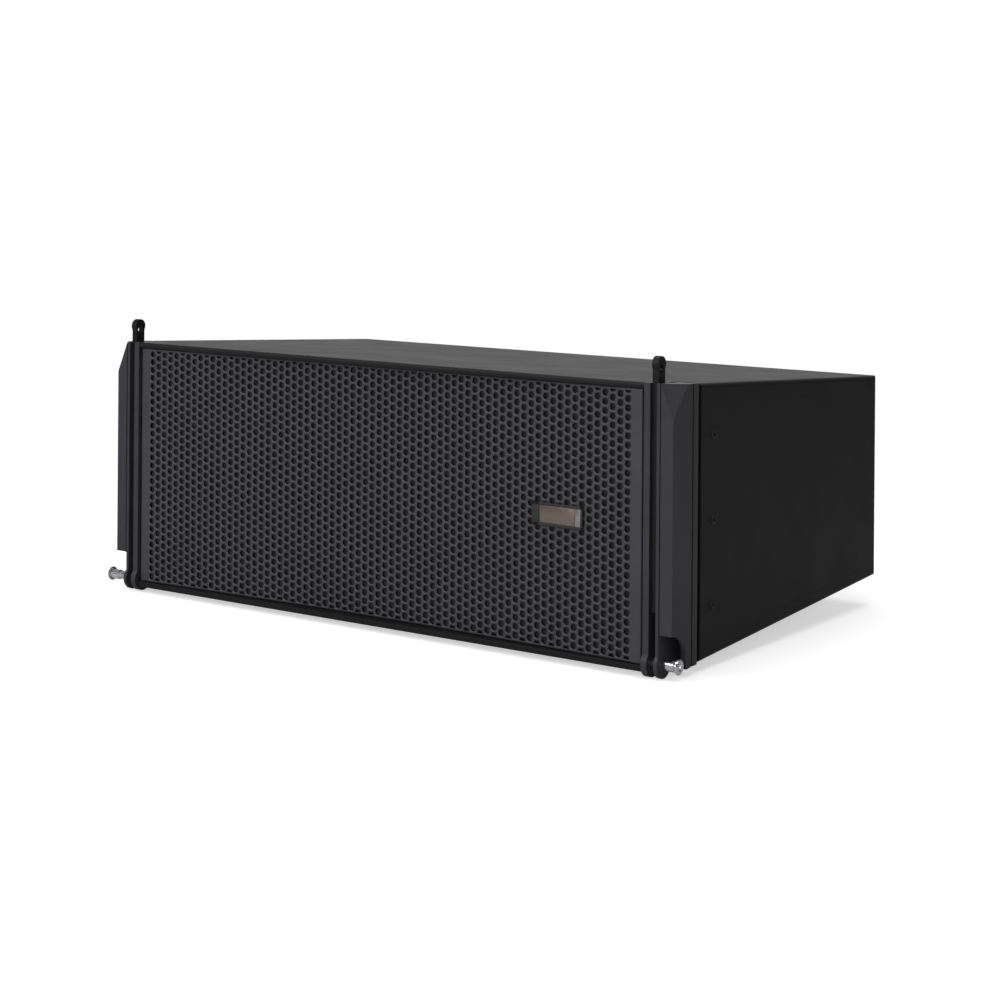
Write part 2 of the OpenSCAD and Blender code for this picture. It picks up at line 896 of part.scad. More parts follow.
module hf_waveguide() {
    color([0.08, 0.08, 0.08])
        difference() {
            union() {
                translate([-horn_w / 2, baffle_y - flange_t, mid_z - horn_h / 2])
                    cube([horn_w, flange_t, horn_h]);
                translate([0, 0, mid_z - box_h / 2 - horn_skin])
                    linear_extrude(box_h + 2 * horn_skin)
                        intersection() {
                            flare_plan(horn_skin);
                            translate([-horn_w, baffle_y - 1])
                                square([2 * horn_w, slot_y]);
                        }
                translate([-slot_w / 2 - horn_skin, slot_y - 1, mid_z - box_h / 2 - horn_skin])
                    cube([slot_w + 2 * horn_skin, throat_y - slot_y + 1, box_h + 2 * horn_skin]);
                translate([0, throat_y - 1, mid_z])
                    rotate([-90, 0, 0])
                        cylinder(r = throat_r + 6, h = horn_end_y - throat_y + 1);
                translate([0, horn_end_y - 6, mid_z])
                    rotate([-90, 0, 0])
                        cylinder(r = 42, h = 6);
            }
            translate([0, 0, mid_z - box_h / 2])
                linear_extrude(box_h)
                    flare_plan(0);
            // The throat box opens from the round throat to the full slot
            translate([-slot_w / 2, 0, mid_z])
                rotate([90, 0, 90])
                    linear_extrude(slot_w)
                        polygon([[slot_y - 1, -box_h / 2], [slot_y + 8, -box_h / 2],
                                 [throat_y - 6, -throat_r], [throat_y - 6, throat_r],
                                 [slot_y + 8, box_h / 2], [slot_y - 1, box_h / 2]]);
            translate([0, throat_y - 8, mid_z])
                rotate([-90, 0, 0])
                    cylinder(r = slot_w / 2 - 0.5, h = 60);
            translate([0, horn_end_y - 10, mid_z])
                rotate([-90, 0, 0])
                    cylinder(r = throat_r - 4, h = 60);
            driver_screw_at()
                cylinder(r = driver_screw_r + gap, h = 2 * driver_screw_l, center = true);
        }
}

// High-frequency motor, drawn round +Z with z = 0 on the waveguide's rear flange
hf_r = 57;
hf_l = 46;
dome_z = 41;

module at_hf() {
    translate([0, horn_end_y, mid_z])
        rotate([-90, 0, 0])
            children();
}

module hf_driver_body() {
    color([0.3, 0.3, 0.32])
        at_hf()
            rotate_extrude()
                polygon([[14, 0], [hf_r - 8, 0], [hf_r, 8], [hf_r, hf_l], [42, hf_l], [42, hf_l - 8],
                         [30, hf_l - 14], [18, hf_l - 14]]);
}

module hf_diaphragm() {
    color([0.75, 0.76, 0.78])
        at_hf()
            rotate_extrude()
                union() {
                    translate([27, dome_z])
                        square([13, 0.6]);
                    intersection() {
                        translate([0, dome_z - 28])
                            difference() {
                                circle(40);
                                circle(39.2);
                            }
                        translate([0, dome_z - 1])
                            square([28.6, 30]);
                    }
                }
}

module hf_rear_cover() {
    color([0.12, 0.12, 0.12])
        at_hf()
            rotate_extrude()
                polygon([[0, hf_l + 22], [42, hf_l + 22], [48, hf_l + 16], [50, hf_l], [46, hf_l],
                         [44, hf_l + 14], [40, hf_l + 18], [0, hf_l + 18]]);
}

// Crossover: a board on the floor of the right chamber, laid out in the floor's own slope
board_x = 120;
board_y = 300;
board_z = ply + 8;
board_w = 190;
board_d = 120;
board_t = 2;

module on_floor() {
    rotate([wedge, 0, 0])
        children();
}

module crossover_board() {
    color([0.1, 0.3, 0.15])
        on_floor() {
            translate([board_x, board_y, board_z])
                cube([board_w, board_d, board_t]);
            for (x = [10, board_w - 10], y = [10, board_d - 10])
                translate([board_x + x, board_y + y, ply + 0.02])
                    cylinder(r = 4, h = board_z - ply + 0.5);
        }
}

coil_spots = [[45, 35, 24], [45, 90, 18], [110, 32, 20]];

module crossover_coils() {
    color([0.7, 0.38, 0.15])
        on_floor()
            for (spot = coil_spots)
                translate([board_x + spot[0], board_y + spot[1], board_z + board_t + 0.02])
                    difference() {
                        cylinder(r = spot[2], h = 18);
                        translate([0, 0, -1])
                            cylinder(r = spot[2] / 2, h = 20);
                    }
}

module crossover_capacitors() {
    color([0.75, 0.6, 0.15])
        on_floor()
            for (i = [0:2])
                translate([board_x + 95, board_y + 66 + i * 20, board_z + board_t + 8.05])
                    rotate([0, 90, 0])
                        cylinder(r = 8, h = 42);
}

// Input plate with two locking cable sockets on the back
socket_r = 11;
socket_l = 22;
socket_x = [-30, 30];
socket_body_r = 13;

module input_plate() {
    color([0.1, 0.1, 0.1])
        difference() {
            translate([input_x - input_w / 2, cab_d, mid_z - input_h / 2])
                cube([input_w, 3, input_h]);
            for (x = socket_x)
                translate([input_x + x, cab_d - 1, mid_z])
                    rotate([-90, 0, 0])
                        cylinder(r = socket_body_r + gap, h = 6);
        }
}

module speaker_connectors() {
    color([0.2, 0.25, 0.45])
        for (x = socket_x)
            translate([input_x + x, cab_d + 3, mid_z])
                rotate([-90, 0, 0])
                    difference() {
                        union() {
                            translate([-16, -16, 0.02])
                                cube([32, 32, 3]);
                            translate([0, 0, -26])
                                cylinder(r = socket_body_r, h = 27);
                        }
                        translate([0, 0, 3.02 - socket_l])
                            cylinder(r = socket_r, h = socket_l + 1);
                    }
}

// A cable run of straight rods that overlap at their corners
module cable(points) {
    r = 2;
    for (i = [0:len(points) - 2]) {
        run = points[i + 1] - points[i];
        length = norm(run);
        translate(points[i])
            rotate([0, acos(run[2] / length), atan2(run[1], run[0])])
                translate([0, 0, -r])
                    cylinder(r = r, h = length + 2 * r);
    }
}

module internal_wiring() {
    start_y = cab_d - 26;
    hub_x = board_x + 20;
    hub_y = 400;
    hub_z = 62;
    feed_x = board_x + 8;
    feed_y = 325;
    feed_z = 175;
    color([0.6, 0.1, 0.1]) {
        cable([[input_x - 30, start_y, mid_z], [input_x - 30, hub_y, mid_z],
               [hub_x, hub_y, mid_z], [hub_x, hub_y, hub_z]]);
        cable([[feed_x, feed_y, 56], [feed_x, feed_y, feed_z], [feed_x, 265, feed_z],
               [36, 265, feed_z]]);
    }
}

// Bar handles across the back, one near each side
handle_x = 295;
handle_z = mid_z + 70;
handle_r = 7;
handle_l = 120;
handle_out = 40;
handle_bend = 16;

// The lower half of an upright handle: a foot, a leg, an elbow and half of the grip
module handle_half() {
    leg_l = handle_out - handle_bend;
    translate([0, 0, -handle_l / 2])
        rotate([-90, 0, 0]) {
            cylinder(r = handle_r + 5, h = 4);
            cylinder(r = handle_r, h = leg_l);
        }
    translate([0, leg_l, -handle_l / 2 + handle_bend])
        rotate([0, 90, 0])
            rotate_extrude(angle = 90)
                translate([handle_bend, 0])
                    circle(handle_r);
    translate([0, handle_out, -handle_l / 2 + handle_bend])
        cylinder(r = handle_r, h = handle_l / 2 - handle_bend);
}

module carry_handles() {
    color([0.08, 0.08, 0.08])
        for (sx = [-1, 1], sz = [0, 1])
            translate([sx * handle_x, cab_d, handle_z])
                rotate([0, 90, 0])
                    mirror([0, 0, sz])
                        handle_half();
}

top_panel();
bottom_panel();
left_side_panel();
right_side_panel();
rear_panel();
front_baffle();
cabinet_braces();
acoustic_lining();
grille();
grille_foam();
badge_plate();
left_rigging_housing();
right_rigging_housing();
left_link_bar();
right_link_bar();
left_lock_pin();
right_lock_pin();
left_pin_button();
right_pin_button();
link_guide_bolts();
rigging_screws();
rear_rigging_spine();
rear_link_arm();
rear_pivot_bolt();
rear_lock_pin();
rear_pin_button();
left_woofer_basket();
left_woofer_top_plate();
left_woofer_magnet();
left_woofer_pole_piece();
left_woofer_surround();
left_woofer_spider();
left_woofer_cone();
left_woofer_dust_cap();
left_woofer_voice_coil();
right_woofer_basket();
right_woofer_top_plate();
right_woofer_magnet();
right_woofer_pole_piece();
right_woofer_surround();
right_woofer_spider();
right_woofer_cone();
right_woofer_dust_cap();
right_woofer_voice_coil();
driver_screws();
reflex_ports();
hf_waveguide();
hf_driver_body();
hf_rear_cover();
hf_diaphragm();
crossover_board();
crossover_coils();
crossover_capacitors();
input_plate();
speaker_connectors();
internal_wiring();
carry_handles();
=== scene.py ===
"""Looks for the line array loudspeaker element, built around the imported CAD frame."""
import functools
import json
import math

import bmesh
import bpy
from mathutils import Matrix, Vector, noise


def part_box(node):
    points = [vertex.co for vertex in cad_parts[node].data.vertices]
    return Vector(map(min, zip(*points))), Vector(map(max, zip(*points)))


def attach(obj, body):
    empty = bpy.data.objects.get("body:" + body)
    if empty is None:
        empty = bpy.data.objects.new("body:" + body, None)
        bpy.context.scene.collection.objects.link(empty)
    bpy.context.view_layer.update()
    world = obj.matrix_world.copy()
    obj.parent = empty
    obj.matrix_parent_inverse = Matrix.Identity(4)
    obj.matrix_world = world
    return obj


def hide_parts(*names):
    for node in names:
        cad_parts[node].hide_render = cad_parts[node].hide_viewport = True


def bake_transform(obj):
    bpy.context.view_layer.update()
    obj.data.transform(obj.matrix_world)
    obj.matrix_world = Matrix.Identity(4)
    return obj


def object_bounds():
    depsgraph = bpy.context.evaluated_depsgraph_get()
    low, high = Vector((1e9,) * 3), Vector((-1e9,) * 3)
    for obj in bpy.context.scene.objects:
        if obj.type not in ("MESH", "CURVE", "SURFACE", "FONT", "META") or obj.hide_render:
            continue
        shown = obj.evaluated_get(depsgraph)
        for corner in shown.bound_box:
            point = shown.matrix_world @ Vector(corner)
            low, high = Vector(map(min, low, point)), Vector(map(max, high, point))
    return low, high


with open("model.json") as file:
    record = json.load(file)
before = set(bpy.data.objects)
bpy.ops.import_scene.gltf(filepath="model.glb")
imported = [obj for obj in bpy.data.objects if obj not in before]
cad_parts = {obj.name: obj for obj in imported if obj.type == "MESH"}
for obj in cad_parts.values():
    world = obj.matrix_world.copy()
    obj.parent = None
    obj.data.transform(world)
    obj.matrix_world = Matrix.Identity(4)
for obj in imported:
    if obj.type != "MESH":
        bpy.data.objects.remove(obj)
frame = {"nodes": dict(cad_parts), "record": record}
cad_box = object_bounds()

MM = 0.001
BACK = Vector((0, 1, 0))
mounts = {mount["name"]: mount for mount in frame["record"]["mounts"]}
_, up_y, up_z = mounts["top_face"]["axis"]
SLOPE = up_y / up_z          # how fast the top falls and the bottom rises towards the back


# ---------------------------------------------------------------- what the frame says

def middle(node):
    low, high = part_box(node)
    return (low + high) / 2


def solids_of(node):
    """The lowest and highest corners of each solid in a CAD node, from left to right, then upwards."""
    mesh = frame["nodes"][node].data
    spot = [tuple(round(c / (0.01 * MM)) for c in v.co) for v in mesh.vertices]
    leader = {s: s for s in spot}

    def root(s):
        while leader[s] != s:
            leader[s] = leader[leader[s]]
            s = leader[s]
        return s

    for edge in mesh.edges:
        a, b = (root(spot[i]) for i in edge.vertices)
        leader[a] = b
    groups = {}
    for vertex, s in zip(mesh.vertices, spot):
        groups.setdefault(root(s), []).append(vertex.co)
    boxes = [
        (Vector(map(min, zip(*points))), Vector(map(max, zip(*points))))
        for points in groups.values()
    ]
    return sorted(boxes, key=lambda box: (round(box[0].x, 3), round(box[0].z, 3)))


def pan_fold():
    """Half the width of the pan's middle facet, and how far it stands behind the front edge."""
    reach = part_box("grille")[1].x / 2
    near = [v.co for v in frame["nodes"]["grille"].data.vertices if abs(v.co.x) < reach]
    back = min(p.y for p in near)
    return max(abs(p.x) for p in near if p.y < back + 0.1 * MM), back


# ---------------------------------------------------------------- node trees

MIX_SHARE = 0                # places of a colour mix's sockets, which share their names with other sockets
MIX_FIRST = 6
MIX_SECOND = 7
MIX_RESULT = 2


def connect(tree, socket, value):
    """Gives an input a plain value, or links it to another node's output."""
    if isinstance(value, bpy.types.NodeSocket):
        tree.links.new(value, socket)
    else:
        socket.default_value = value


def plug(tree, node, **inputs):
    """Connects a node's inputs by name, written with _ for a blank."""
    for key, value in inputs.items():
        connect(tree, node.inputs[key.replace("_", " ")], value)


def plug_in_order(tree, node, *values):
    """Connects a node's first inputs, for nodes whose inputs share one name."""
    for socket, value in zip(node.inputs, values):
        connect(tree, socket, value)


def add(tree, kind, settings=None, **inputs):
    """Adds one shader node with its settings and its inputs."""
    made = tree.nodes.new(kind)
    for key, value in (settings or {}).items():
        setattr(made, key, value)
    plug(tree, made, **inputs)
    return made


def stretched(tree, place, scale):
    """Coordinates multiplied by a scale along each axis."""
    return add(tree, "ShaderNodeMapping", Vector=place, Scale=scale).outputs["Vector"]


def grain(tree, place, size, detail=4.0, roughness=0.55):
    """Noise whose lumps are about size across, in metres."""
    made = add(tree, "ShaderNodeTexNoise", Vector=place, Scale=1 / size, Detail=detail, Roughness=roughness)
    return made.outputs["Fac"]


def cells(tree, place, size):
    """Distance from the middles of scattered cells, each about size across."""
    return add(tree, "ShaderNodeTexVoronoi", Vector=place, Scale=1 / size).outputs["Distance"]


def ramp(tree, value, low, high, start=0.0, end=1.0):
    """Maps a value from start..end to low..high."""
    made = add(
        tree, "ShaderNodeMapRange",
        Value=value, From_Min=start, From_Max=end, To_Min=low, To_Max=high,
    )
    return made.outputs["Result"]


def blend_colours(tree, share, first, second):
    """The first colour where share is 0 and the second where it is 1."""
    made = add(tree, "ShaderNodeMix", {"data_type": "RGBA"})
    for place, value in ((MIX_SHARE, share), (MIX_FIRST, first), (MIX_SECOND, second)):
        connect(tree, made.inputs[place], value)
    return made.outputs[MIX_RESULT]


def grey(level, tint=(1.0, 1.0, 1.0)):
    return (level * tint[0], level * tint[1], level * tint[2], 1.0)


def rounded_normal(tree, radius):
    """A normal that turns smoothly over sharp edges."""
    return add(tree, "ShaderNodeBevel", {"samples": 4}, Radius=radius).outputs["Normal"]


def edge_share(tree, soft_normal):
    """0 on flat ground and up to 1 on an edge."""
    true_normal = tree.nodes.new("ShaderNodeNewGeometry").outputs["Normal"]
    dot = add(tree, "ShaderNodeVectorMath", {"operation": "DOT_PRODUCT"})
    plug_in_order(tree, dot, soft_normal, true_normal)
    return ramp(tree, dot.outputs["Value"], 1.0, 0.0, 0.75, 0.995)


def times(tree, a, b):
    """The product of two values, held between 0 and 1."""
    made = add(tree, "ShaderNodeMath", {"operation": "MULTIPLY", "use_clamp": True})
    plug_in_order(tree, made, a, b)
    return made.outputs["Value"]


def bumped(tree, height, depth, normal=None):
    """A normal that follows a height of 0 to 1 as relief of that depth."""
    made = add(tree, "ShaderNodeBump", Height=height, Distance=depth, Strength=1.0)
    if normal is not None:
        tree.links.new(normal, made.inputs["Normal"])
    return made.outputs["Normal"]


# Each of these lays out a material's nodes and carries its slot's name. It gets the tree, the surface shader
# and the object coordinates, which *nodes stands for.

def coated(tree, shader, place, colour, worn, peel, rough, soft_edge=0.8 * MM, wear=0.5, gloss=0.5):
    """A coat of paint or powder: a fine peel, cloudy gloss, and edges where the coat has rubbed thin."""
    clouds = grain(tree, place, 60 * MM, 3.0)
    soft = rounded_normal(tree, soft_edge)
    edge = edge_share(tree, soft)
    scuffs = ramp(tree, grain(tree, place, 5 * MM, 5.0, 0.7), 0.0, wear, 0.48, 0.66)
    base = blend_colours(tree, ramp(tree, clouds, 0.0, 1.0, 0.3, 0.7), grey(0.85, colour[:3]), colour)
    shown = blend_colours(tree, times(tree, edge, scuffs), base, worn)
    dust = grain(tree, place, 0.9 * MM, 2.0)
    dust_share = 0.12
    shine = ramp(tree, clouds, *rough, 0.3, 0.7)
    fine = add(tree, "ShaderNodeMath", {"operation": "MULTIPLY_ADD"})
    plug_in_order(tree, fine, dust, dust_share, shine)
    lumps = bumped(tree, grain(tree, place, peel, 2.0, 0.4), 0.12 * peel, soft)
    plug(tree, shader, Base_Color=shown, Roughness=fine.outputs["Value"], Normal=lumps,
         Specular_IOR_Level=gloss)


def black_paint(*nodes):
    worn = grey(0.09, (1.0, 0.95, 0.88))
    coated(*nodes, grey(0.010), worn, 1.3 * MM, (0.43, 0.50), 1.2 * MM, gloss=0.22)


def grille_steel(*nodes):
    violet_grey = grey(0.052, (0.96, 0.93, 1.16))
    coated(*nodes, violet_grey, grey(0.10), 0.7 * MM, (0.36, 0.46), 0.3 * MM, wear=0.25)


def rigging_steel(*nodes):
    violet_grey = grey(0.048, (0.96, 0.93, 1.12))
    coated(*nodes, violet_grey, grey(0.16), 0.8 * MM, (0.36, 0.48), 0.6 * MM, gloss=0.3)


def black_steel(*nodes):
    coated(*nodes, grey(0.006), grey(0.12), 0.6 * MM, (0.34, 0.46), 0.7 * MM, gloss=0.25)


def black_screws(tree, shader, place):
    soft = rounded_normal(tree, 0.3 * MM)
    edge = edge_share(tree, soft)
    spots = grain(tree, place, 1.5 * MM, 4.0)
    colour = blend_colours(tree, times(tree, edge, 0.6), grey(0.03), grey(0.22))
    plug(tree, shader, Base_Color=colour, Metallic=0.7, Roughness=ramp(tree, spots, 0.28, 0.5),
         Normal=bumped(tree, spots, 0.05 * MM, soft))


def metal(tree, shader, place, colour, rough, brush, depth):
    """Bare metal with tool marks: brush is the size of a mark along each axis."""
    marks = grain(tree, stretched(tree, place, tuple(1 / size for size in brush)), 1.0, 4.0, 0.6)
    patches = grain(tree, place, 14 * MM, 3.0)
    tone = blend_colours(tree, ramp(tree, patches, 0.0, 1.0, 0.3, 0.7), grey(0.86, colour[:3]), colour)
    soft = rounded_normal(tree, 0.3 * MM)
    plug(tree, shader, Base_Color=tone, Metallic=1.0, Roughness=ramp(tree, marks, *rough),
         Normal=bumped(tree, marks, depth, soft))


def pin_chrome(*nodes):
    turning_marks = (0.4 * MM, 6 * MM, 6 * MM)
    metal(*nodes, grey(0.88, (1.0, 1.0, 1.02)), (0.06, 0.24), turning_marks, 0.01 * MM)


def zinc_steel(*nodes):
    metal(*nodes, grey(0.62, (1.0, 1.0, 0.97)), (0.25, 0.5), (2 * MM, 2 * MM, 2 * MM), 0.03 * MM)


def basket_alloy(*nodes):
    coated(*nodes, grey(0.05), grey(0.3), 1.0 * MM, (0.45, 0.6))


def badge(*nodes):
    metal(*nodes, (0.30, 0.23, 0.20, 1.0), (0.22, 0.42), (9 * MM, 9 * MM, 0.25 * MM), 0.015 * MM)


def badge_band(*nodes):
    metal(*nodes, grey(0.42), (0.2, 0.36), (9 * MM, 9 * MM, 0.25 * MM), 0.01 * MM)


def diaphragm_alloy(*nodes):
    metal(*nodes, grey(0.78), (0.2, 0.4), (3 * MM, 3 * MM, 3 * MM), 0.02 * MM)


def copper(tree, shader, place):
    """Windings of enamelled wire, each turn lifted."""
    turns = add(tree, "ShaderNodeTexWave", {"bands_direction": "Z"},
                Vector=place, Scale=1 / (3.5 * MM), Distortion=0.4)
    tone = grain(tree, place, 3 * MM, 3.0)
    colour = blend_colours(tree, tone, (0.62, 0.24, 0.09, 1.0), (0.85, 0.42, 0.2, 1.0))
    plug(tree, shader, Base_Color=colour, Metallic=0.9, Roughness=ramp(tree, tone, 0.25, 0.45),
         Normal=bumped(tree, turns.outputs["Fac"], 0.3 * MM), Coat_Weight=0.5, Coat_Roughness=0.15)


def ferrite(tree, shader, place):
    pores = grain(tree, place, 1.2 * MM, 6.0, 0.7)
    colour = blend_colours(tree, pores, grey(0.045), grey(0.085, (1.0, 1.0, 1.03)))
    plug(tree, shader, Base_Color=colour, Roughness=ramp(tree, pores, 0.55, 0.85),
         Normal=bumped(tree, pores, 0.12 * MM, rounded_normal(tree, 0.8 * MM)))


def surround_rubber(tree, shader, place):
    bloom = grain(tree, place, 22 * MM, 4.0)
    skin = grain(tree, place, 0.5 * MM, 3.0)
    colour = blend_colours(tree, bloom, grey(0.012), grey(0.03))
    plug(tree, shader, Base_Color=colour, Roughness=ramp(tree, bloom, 0.5, 0.75),
         Normal=bumped(tree, skin, 0.05 * MM), Sheen_Weight=0.1)


def woven(tree, shader, place, thread, dark, light, rough):
    """A plain weave: two sets of threads that cross at right angles."""
    bands = []
    for direction in ("X", "Z"):
        made = add(tree, "ShaderNodeTexWave", {"bands_direction": direction},
                   Vector=place, Scale=1 / (6 * thread), Distortion=1.5, Detail_Scale=3.0)
        bands.append(made.outputs["Fac"])
    weave = times(tree, bands[0], bands[1])
    tone = blend_colours(tree, weave, dark, light)
    plug(tree, shader, Base_Color=tone, Roughness=ramp(tree, weave, *rough), Sheen_Weight=0.3,
         Normal=bumped(tree, weave, 0.5 * thread))


def spider_cloth(*nodes):
    woven(*nodes, 0.5 * MM, (0.32, 0.2, 0.08, 1.0), (0.66, 0.47, 0.22, 1.0), (0.6, 0.85))


def fuzzy(tree, shader, place, tuft, dark, light, depth):
    """Felt or open foam: matted tufts with deep shade between them."""
    tufts = cells(tree, place, tuft)
    fibres = grain(tree, place, 0.4 * tuft, 6.0, 0.75)
    mixed = times(tree, ramp(tree, tufts, 0.35, 1.0, 0.0, 0.6), ramp(tree, fibres, 0.5, 1.3))
    colour = blend_colours(tree, mixed, dark, light)
    plug(tree, shader, Base_Color=colour, Roughness=ramp(tree, fibres, 0.8, 1.0), Sheen_Weight=0.25,
         Specular_IOR_Level=0.2, Normal=bumped(tree, mixed, depth))


def felt(*nodes):
    fuzzy(*nodes, 2.2 * MM, grey(0.1), grey(0.3), 1.0 * MM)


def foam(*nodes):
    fuzzy(*nodes, 1.1 * MM, grey(0.004), grey(0.020), 0.8 * MM)


def cone_paper(tree, shader, place):
    fibres = grain(tree, stretched(tree, place, (1.0, 1.0, 0.35)), 0.9 * MM, 6.0, 0.75)
    blotches = grain(tree, place, 18 * MM, 3.0)
    colour = blend_colours(tree, blotches, grey(0.018), grey(0.040))
    plug(tree, shader, Base_Color=colour, Roughness=ramp(tree, fibres, 0.5, 0.9),
         Normal=bumped(tree, fibres, 0.15 * MM))


def moulded(tree, shader, place, colour, rough, grain_size, coat=0.0):
    """Moulded plastic with a spark-eroded grain and a soft parting edge."""
    pits = cells(tree, place, grain_size)
    haze = grain(tree, place, 25 * MM, 3.0)
    shade = blend_colours(tree, haze, grey(0.8, colour[:3]), colour)
    plug(tree, shader, Base_Color=shade, Roughness=ramp(tree, haze, *rough), Coat_Weight=coat,
         Normal=bumped(tree, pits, 0.06 * MM, rounded_normal(tree, 0.6 * MM)))


def black_plastic(*nodes):
    moulded(*nodes, grey(0.020), (0.42, 0.6), 0.6 * MM)


def connector_plastic(*nodes):
    moulded(*nodes, (0.012, 0.018, 0.05, 1.0), (0.3, 0.45), 0.9 * MM, coat=0.1)


def capacitor_film(tree, shader, place):
    wraps = grain(tree, stretched(tree, place, (40.0, 400.0, 400.0)), 1.0, 3.0)
    colour = blend_colours(tree, wraps, (0.5, 0.32, 0.05, 1.0), (0.75, 0.55, 0.14, 1.0))
    plug(tree, shader, Base_Color=colour, Roughness=ramp(tree, wraps, 0.15, 0.35), Coat_Weight=0.6,
         Normal=bumped(tree, wraps, 0.1 * MM))


def circuit_board(tree, shader, place):
    """Green laminate with tracks seen through the lacquer."""
    tracks = add(tree, "ShaderNodeTexBrick", {"offset": 0.35, "squash": 0.7},
                 Vector=place, Scale=1 / (40 * MM), Mortar_Size=0.03)
    share = ramp(tree, tracks.outputs["Fac"], 0.0, 0.8)
    weave = grain(tree, place, 1.5 * MM, 3.0)
    green = blend_colours(tree, weave, (0.01, 0.07, 0.03, 1.0), (0.02, 0.11, 0.05, 1.0))
    plug(tree, shader, Base_Color=blend_colours(tree, share, green, (0.25, 0.3, 0.08, 1.0)),
         Roughness=ramp(tree, weave, 0.25, 0.45), Normal=bumped(tree, share, 0.05 * MM))


def birch_ply(tree, shader, place):
    """Bare plywood: long grain on the faces and a line between the veneers."""
    rings = grain(tree, stretched(tree, place, (3.0, 60.0, 60.0)), 1.0, 5.0, 0.6)
    veneer = add(tree, "ShaderNodeTexWave", {"bands_direction": "X"},
                 Vector=place, Scale=1 / (19 * MM), Distortion=0.6)
    late_wood = ramp(tree, rings, 0.0, 1.0, 0.3, 0.7)
    wood = blend_colours(tree, late_wood, (0.42, 0.27, 0.13, 1.0), (0.66, 0.5, 0.3, 1.0))
    lines = ramp(tree, veneer.outputs["Fac"], 0.75, 1.0, 0.0, 0.3)
    shaded = blend_colours(tree, lines, (0.24, 0.14, 0.07, 1.0), wood)
    plug(tree, shader, Base_Color=shaded, Roughness=ramp(tree, rings, 0.5, 0.75),
         Normal=bumped(tree, rings, 0.2 * MM))


def studio_floor(tree, shader, place):
    """A pale matt floor. The camera sees it lighter than it is lit, and white far from the object."""
    mottle = grain(tree, place, 0.4, 3.0)
    seen = tree.nodes.new("ShaderNodeLightPath").outputs["Is Camera Ray"]
    pale = blend_colours(tree, mottle, grey(0.86), grey(0.90))
    colour = blend_colours(tree, seen, grey(FLOOR_BOUNCE), pale)
    plug(tree, shader, Base_Color=colour, Roughness=ramp(tree, mottle, 0.7, 0.8), Specular_IOR_Level=0.1,
         Emission_Color=grey(1.0), Emission_Strength=ramp(tree, seen, FLOOR_GLOW, FLOOR_SEEN))
    reach = add(tree, "ShaderNodeVectorMath", {"operation": "LENGTH"}, Vector=place)
    far = times(tree, seen, ramp(tree, reach.outputs["Value"], 0.0, 1.0, *FLOOR_FADE))
    white = add(tree, "ShaderNodeEmission", Color=grey(1.0), Strength=1.0)
    mix = tree.nodes.new("ShaderNodeMixShader")
    plug_in_order(tree, mix, far, shader.outputs["BSDF"], white.outputs["Emission"])
    output = next(node for node in tree.nodes if node.type == "OUTPUT_MATERIAL")
    plug(tree, output, Surface=mix.outputs["Shader"])


LOOKS = {paint.__name__: paint for paint in (
    badge, badge_band, basket_alloy, birch_ply, black_paint, black_plastic, black_screws, black_steel,
    capacitor_film, circuit_board, cone_paper, connector_plastic, copper, diaphragm_alloy, felt, ferrite,
    foam, grille_steel, pin_chrome, rigging_steel, spider_cloth, studio_floor, surround_rubber, zinc_steel,
)}


@functools.cache
def look(name):
    """The one material of that name, made when it is first asked for."""
    material = bpy.data.materials.new(name)
    material.use_nodes = True
    tree = material.node_tree
    tree.nodes.clear()
    shader = add(tree, "ShaderNodeBsdfPrincipled")
    add(tree, "ShaderNodeOutputMaterial", Surface=shader.outputs["BSDF"])
    LOOKS[name](tree, shader, add(tree, "ShaderNodeTexCoord").outputs["Object"])
    return material


def dress_cad_nodes():
    for part in frame["record"]["subparts"]:
        mesh = frame["nodes"][part["node"]].data
        mesh.materials.clear()
        mesh.materials.append(look(part["material_slot"]))


# ---------------------------------------------------------------- mesh tools

class Shape:
    """Points and faces of one piece while it is put together."""

    def __init__(self):
        self.points = []
        self.faces = []

    def add(self, form, matrix=None):
        points, faces = form
        start = len(self.points)
        if matrix is not None:
            points = [matrix @ Vector(p) for p in points]
        self.points.extend(points)
        self.faces.extend([start + i for i in face] for face in faces)
        return self

    def piece(self, name, slot, body="cabinet", sharp=35.0, replaces=()):
        """Makes the object, smooth except at edges sharper than the given angle in degrees."""
        mesh = bpy.data.meshes.new(name)
        mesh.from_pydata([tuple(p) for p in self.points], [], self.faces)
        obj = new_object(name, mesh)
        finish_mesh(mesh, sharp)
        mesh.materials.append(look(slot))
        if body:
            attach(obj, body)
        if replaces:
            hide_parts(*replaces)
        return obj


def new_object(name, data):
    obj = bpy.data.objects.new(name, data)
    bpy.context.scene.collection.objects.link(obj)
    return obj


def finish_mesh(mesh, sharp):
    """Turns every face outwards and smooths all but the sharp edges."""
    work = bmesh.new()
    work.from_mesh(mesh)
    bmesh.ops.recalc_face_normals(work, faces=work.faces)
    work.to_mesh(mesh)
    work.free()
    mesh.shade_smooth()
    mesh.set_sharp_from_angle(angle=math.radians(sharp))
    mesh.update()


def aimed(place, direction, turn=0.0):
    """A matrix that sends +Z along direction and the origin to place."""
    tilt = Vector((0, 0, 1)).rotation_difference(Vector(direction)).to_matrix().to_4x4()
    return Matrix.Translation(place) @ tilt @ Matrix.Rotation(math.radians(turn), 4, "Z")


def ring_radius(radius, angle, outline):
    """Distance from the axis of a round, square, hexagonal or knurled outline."""
    if outline == "square":
        power = 7
        return radius / (abs(math.cos(angle)) ** power + abs(math.sin(angle)) ** power) ** (1 / power)
    if outline == "hexagon":
        sixth = math.pi / 3
        return radius / math.cos((angle + sixth / 2) % sixth - sixth / 2)
    if outline == "knurl":
        ridges, depth = 24, 0.018
        return radius * (1 + depth * math.cos(ridges * angle))
    return radius


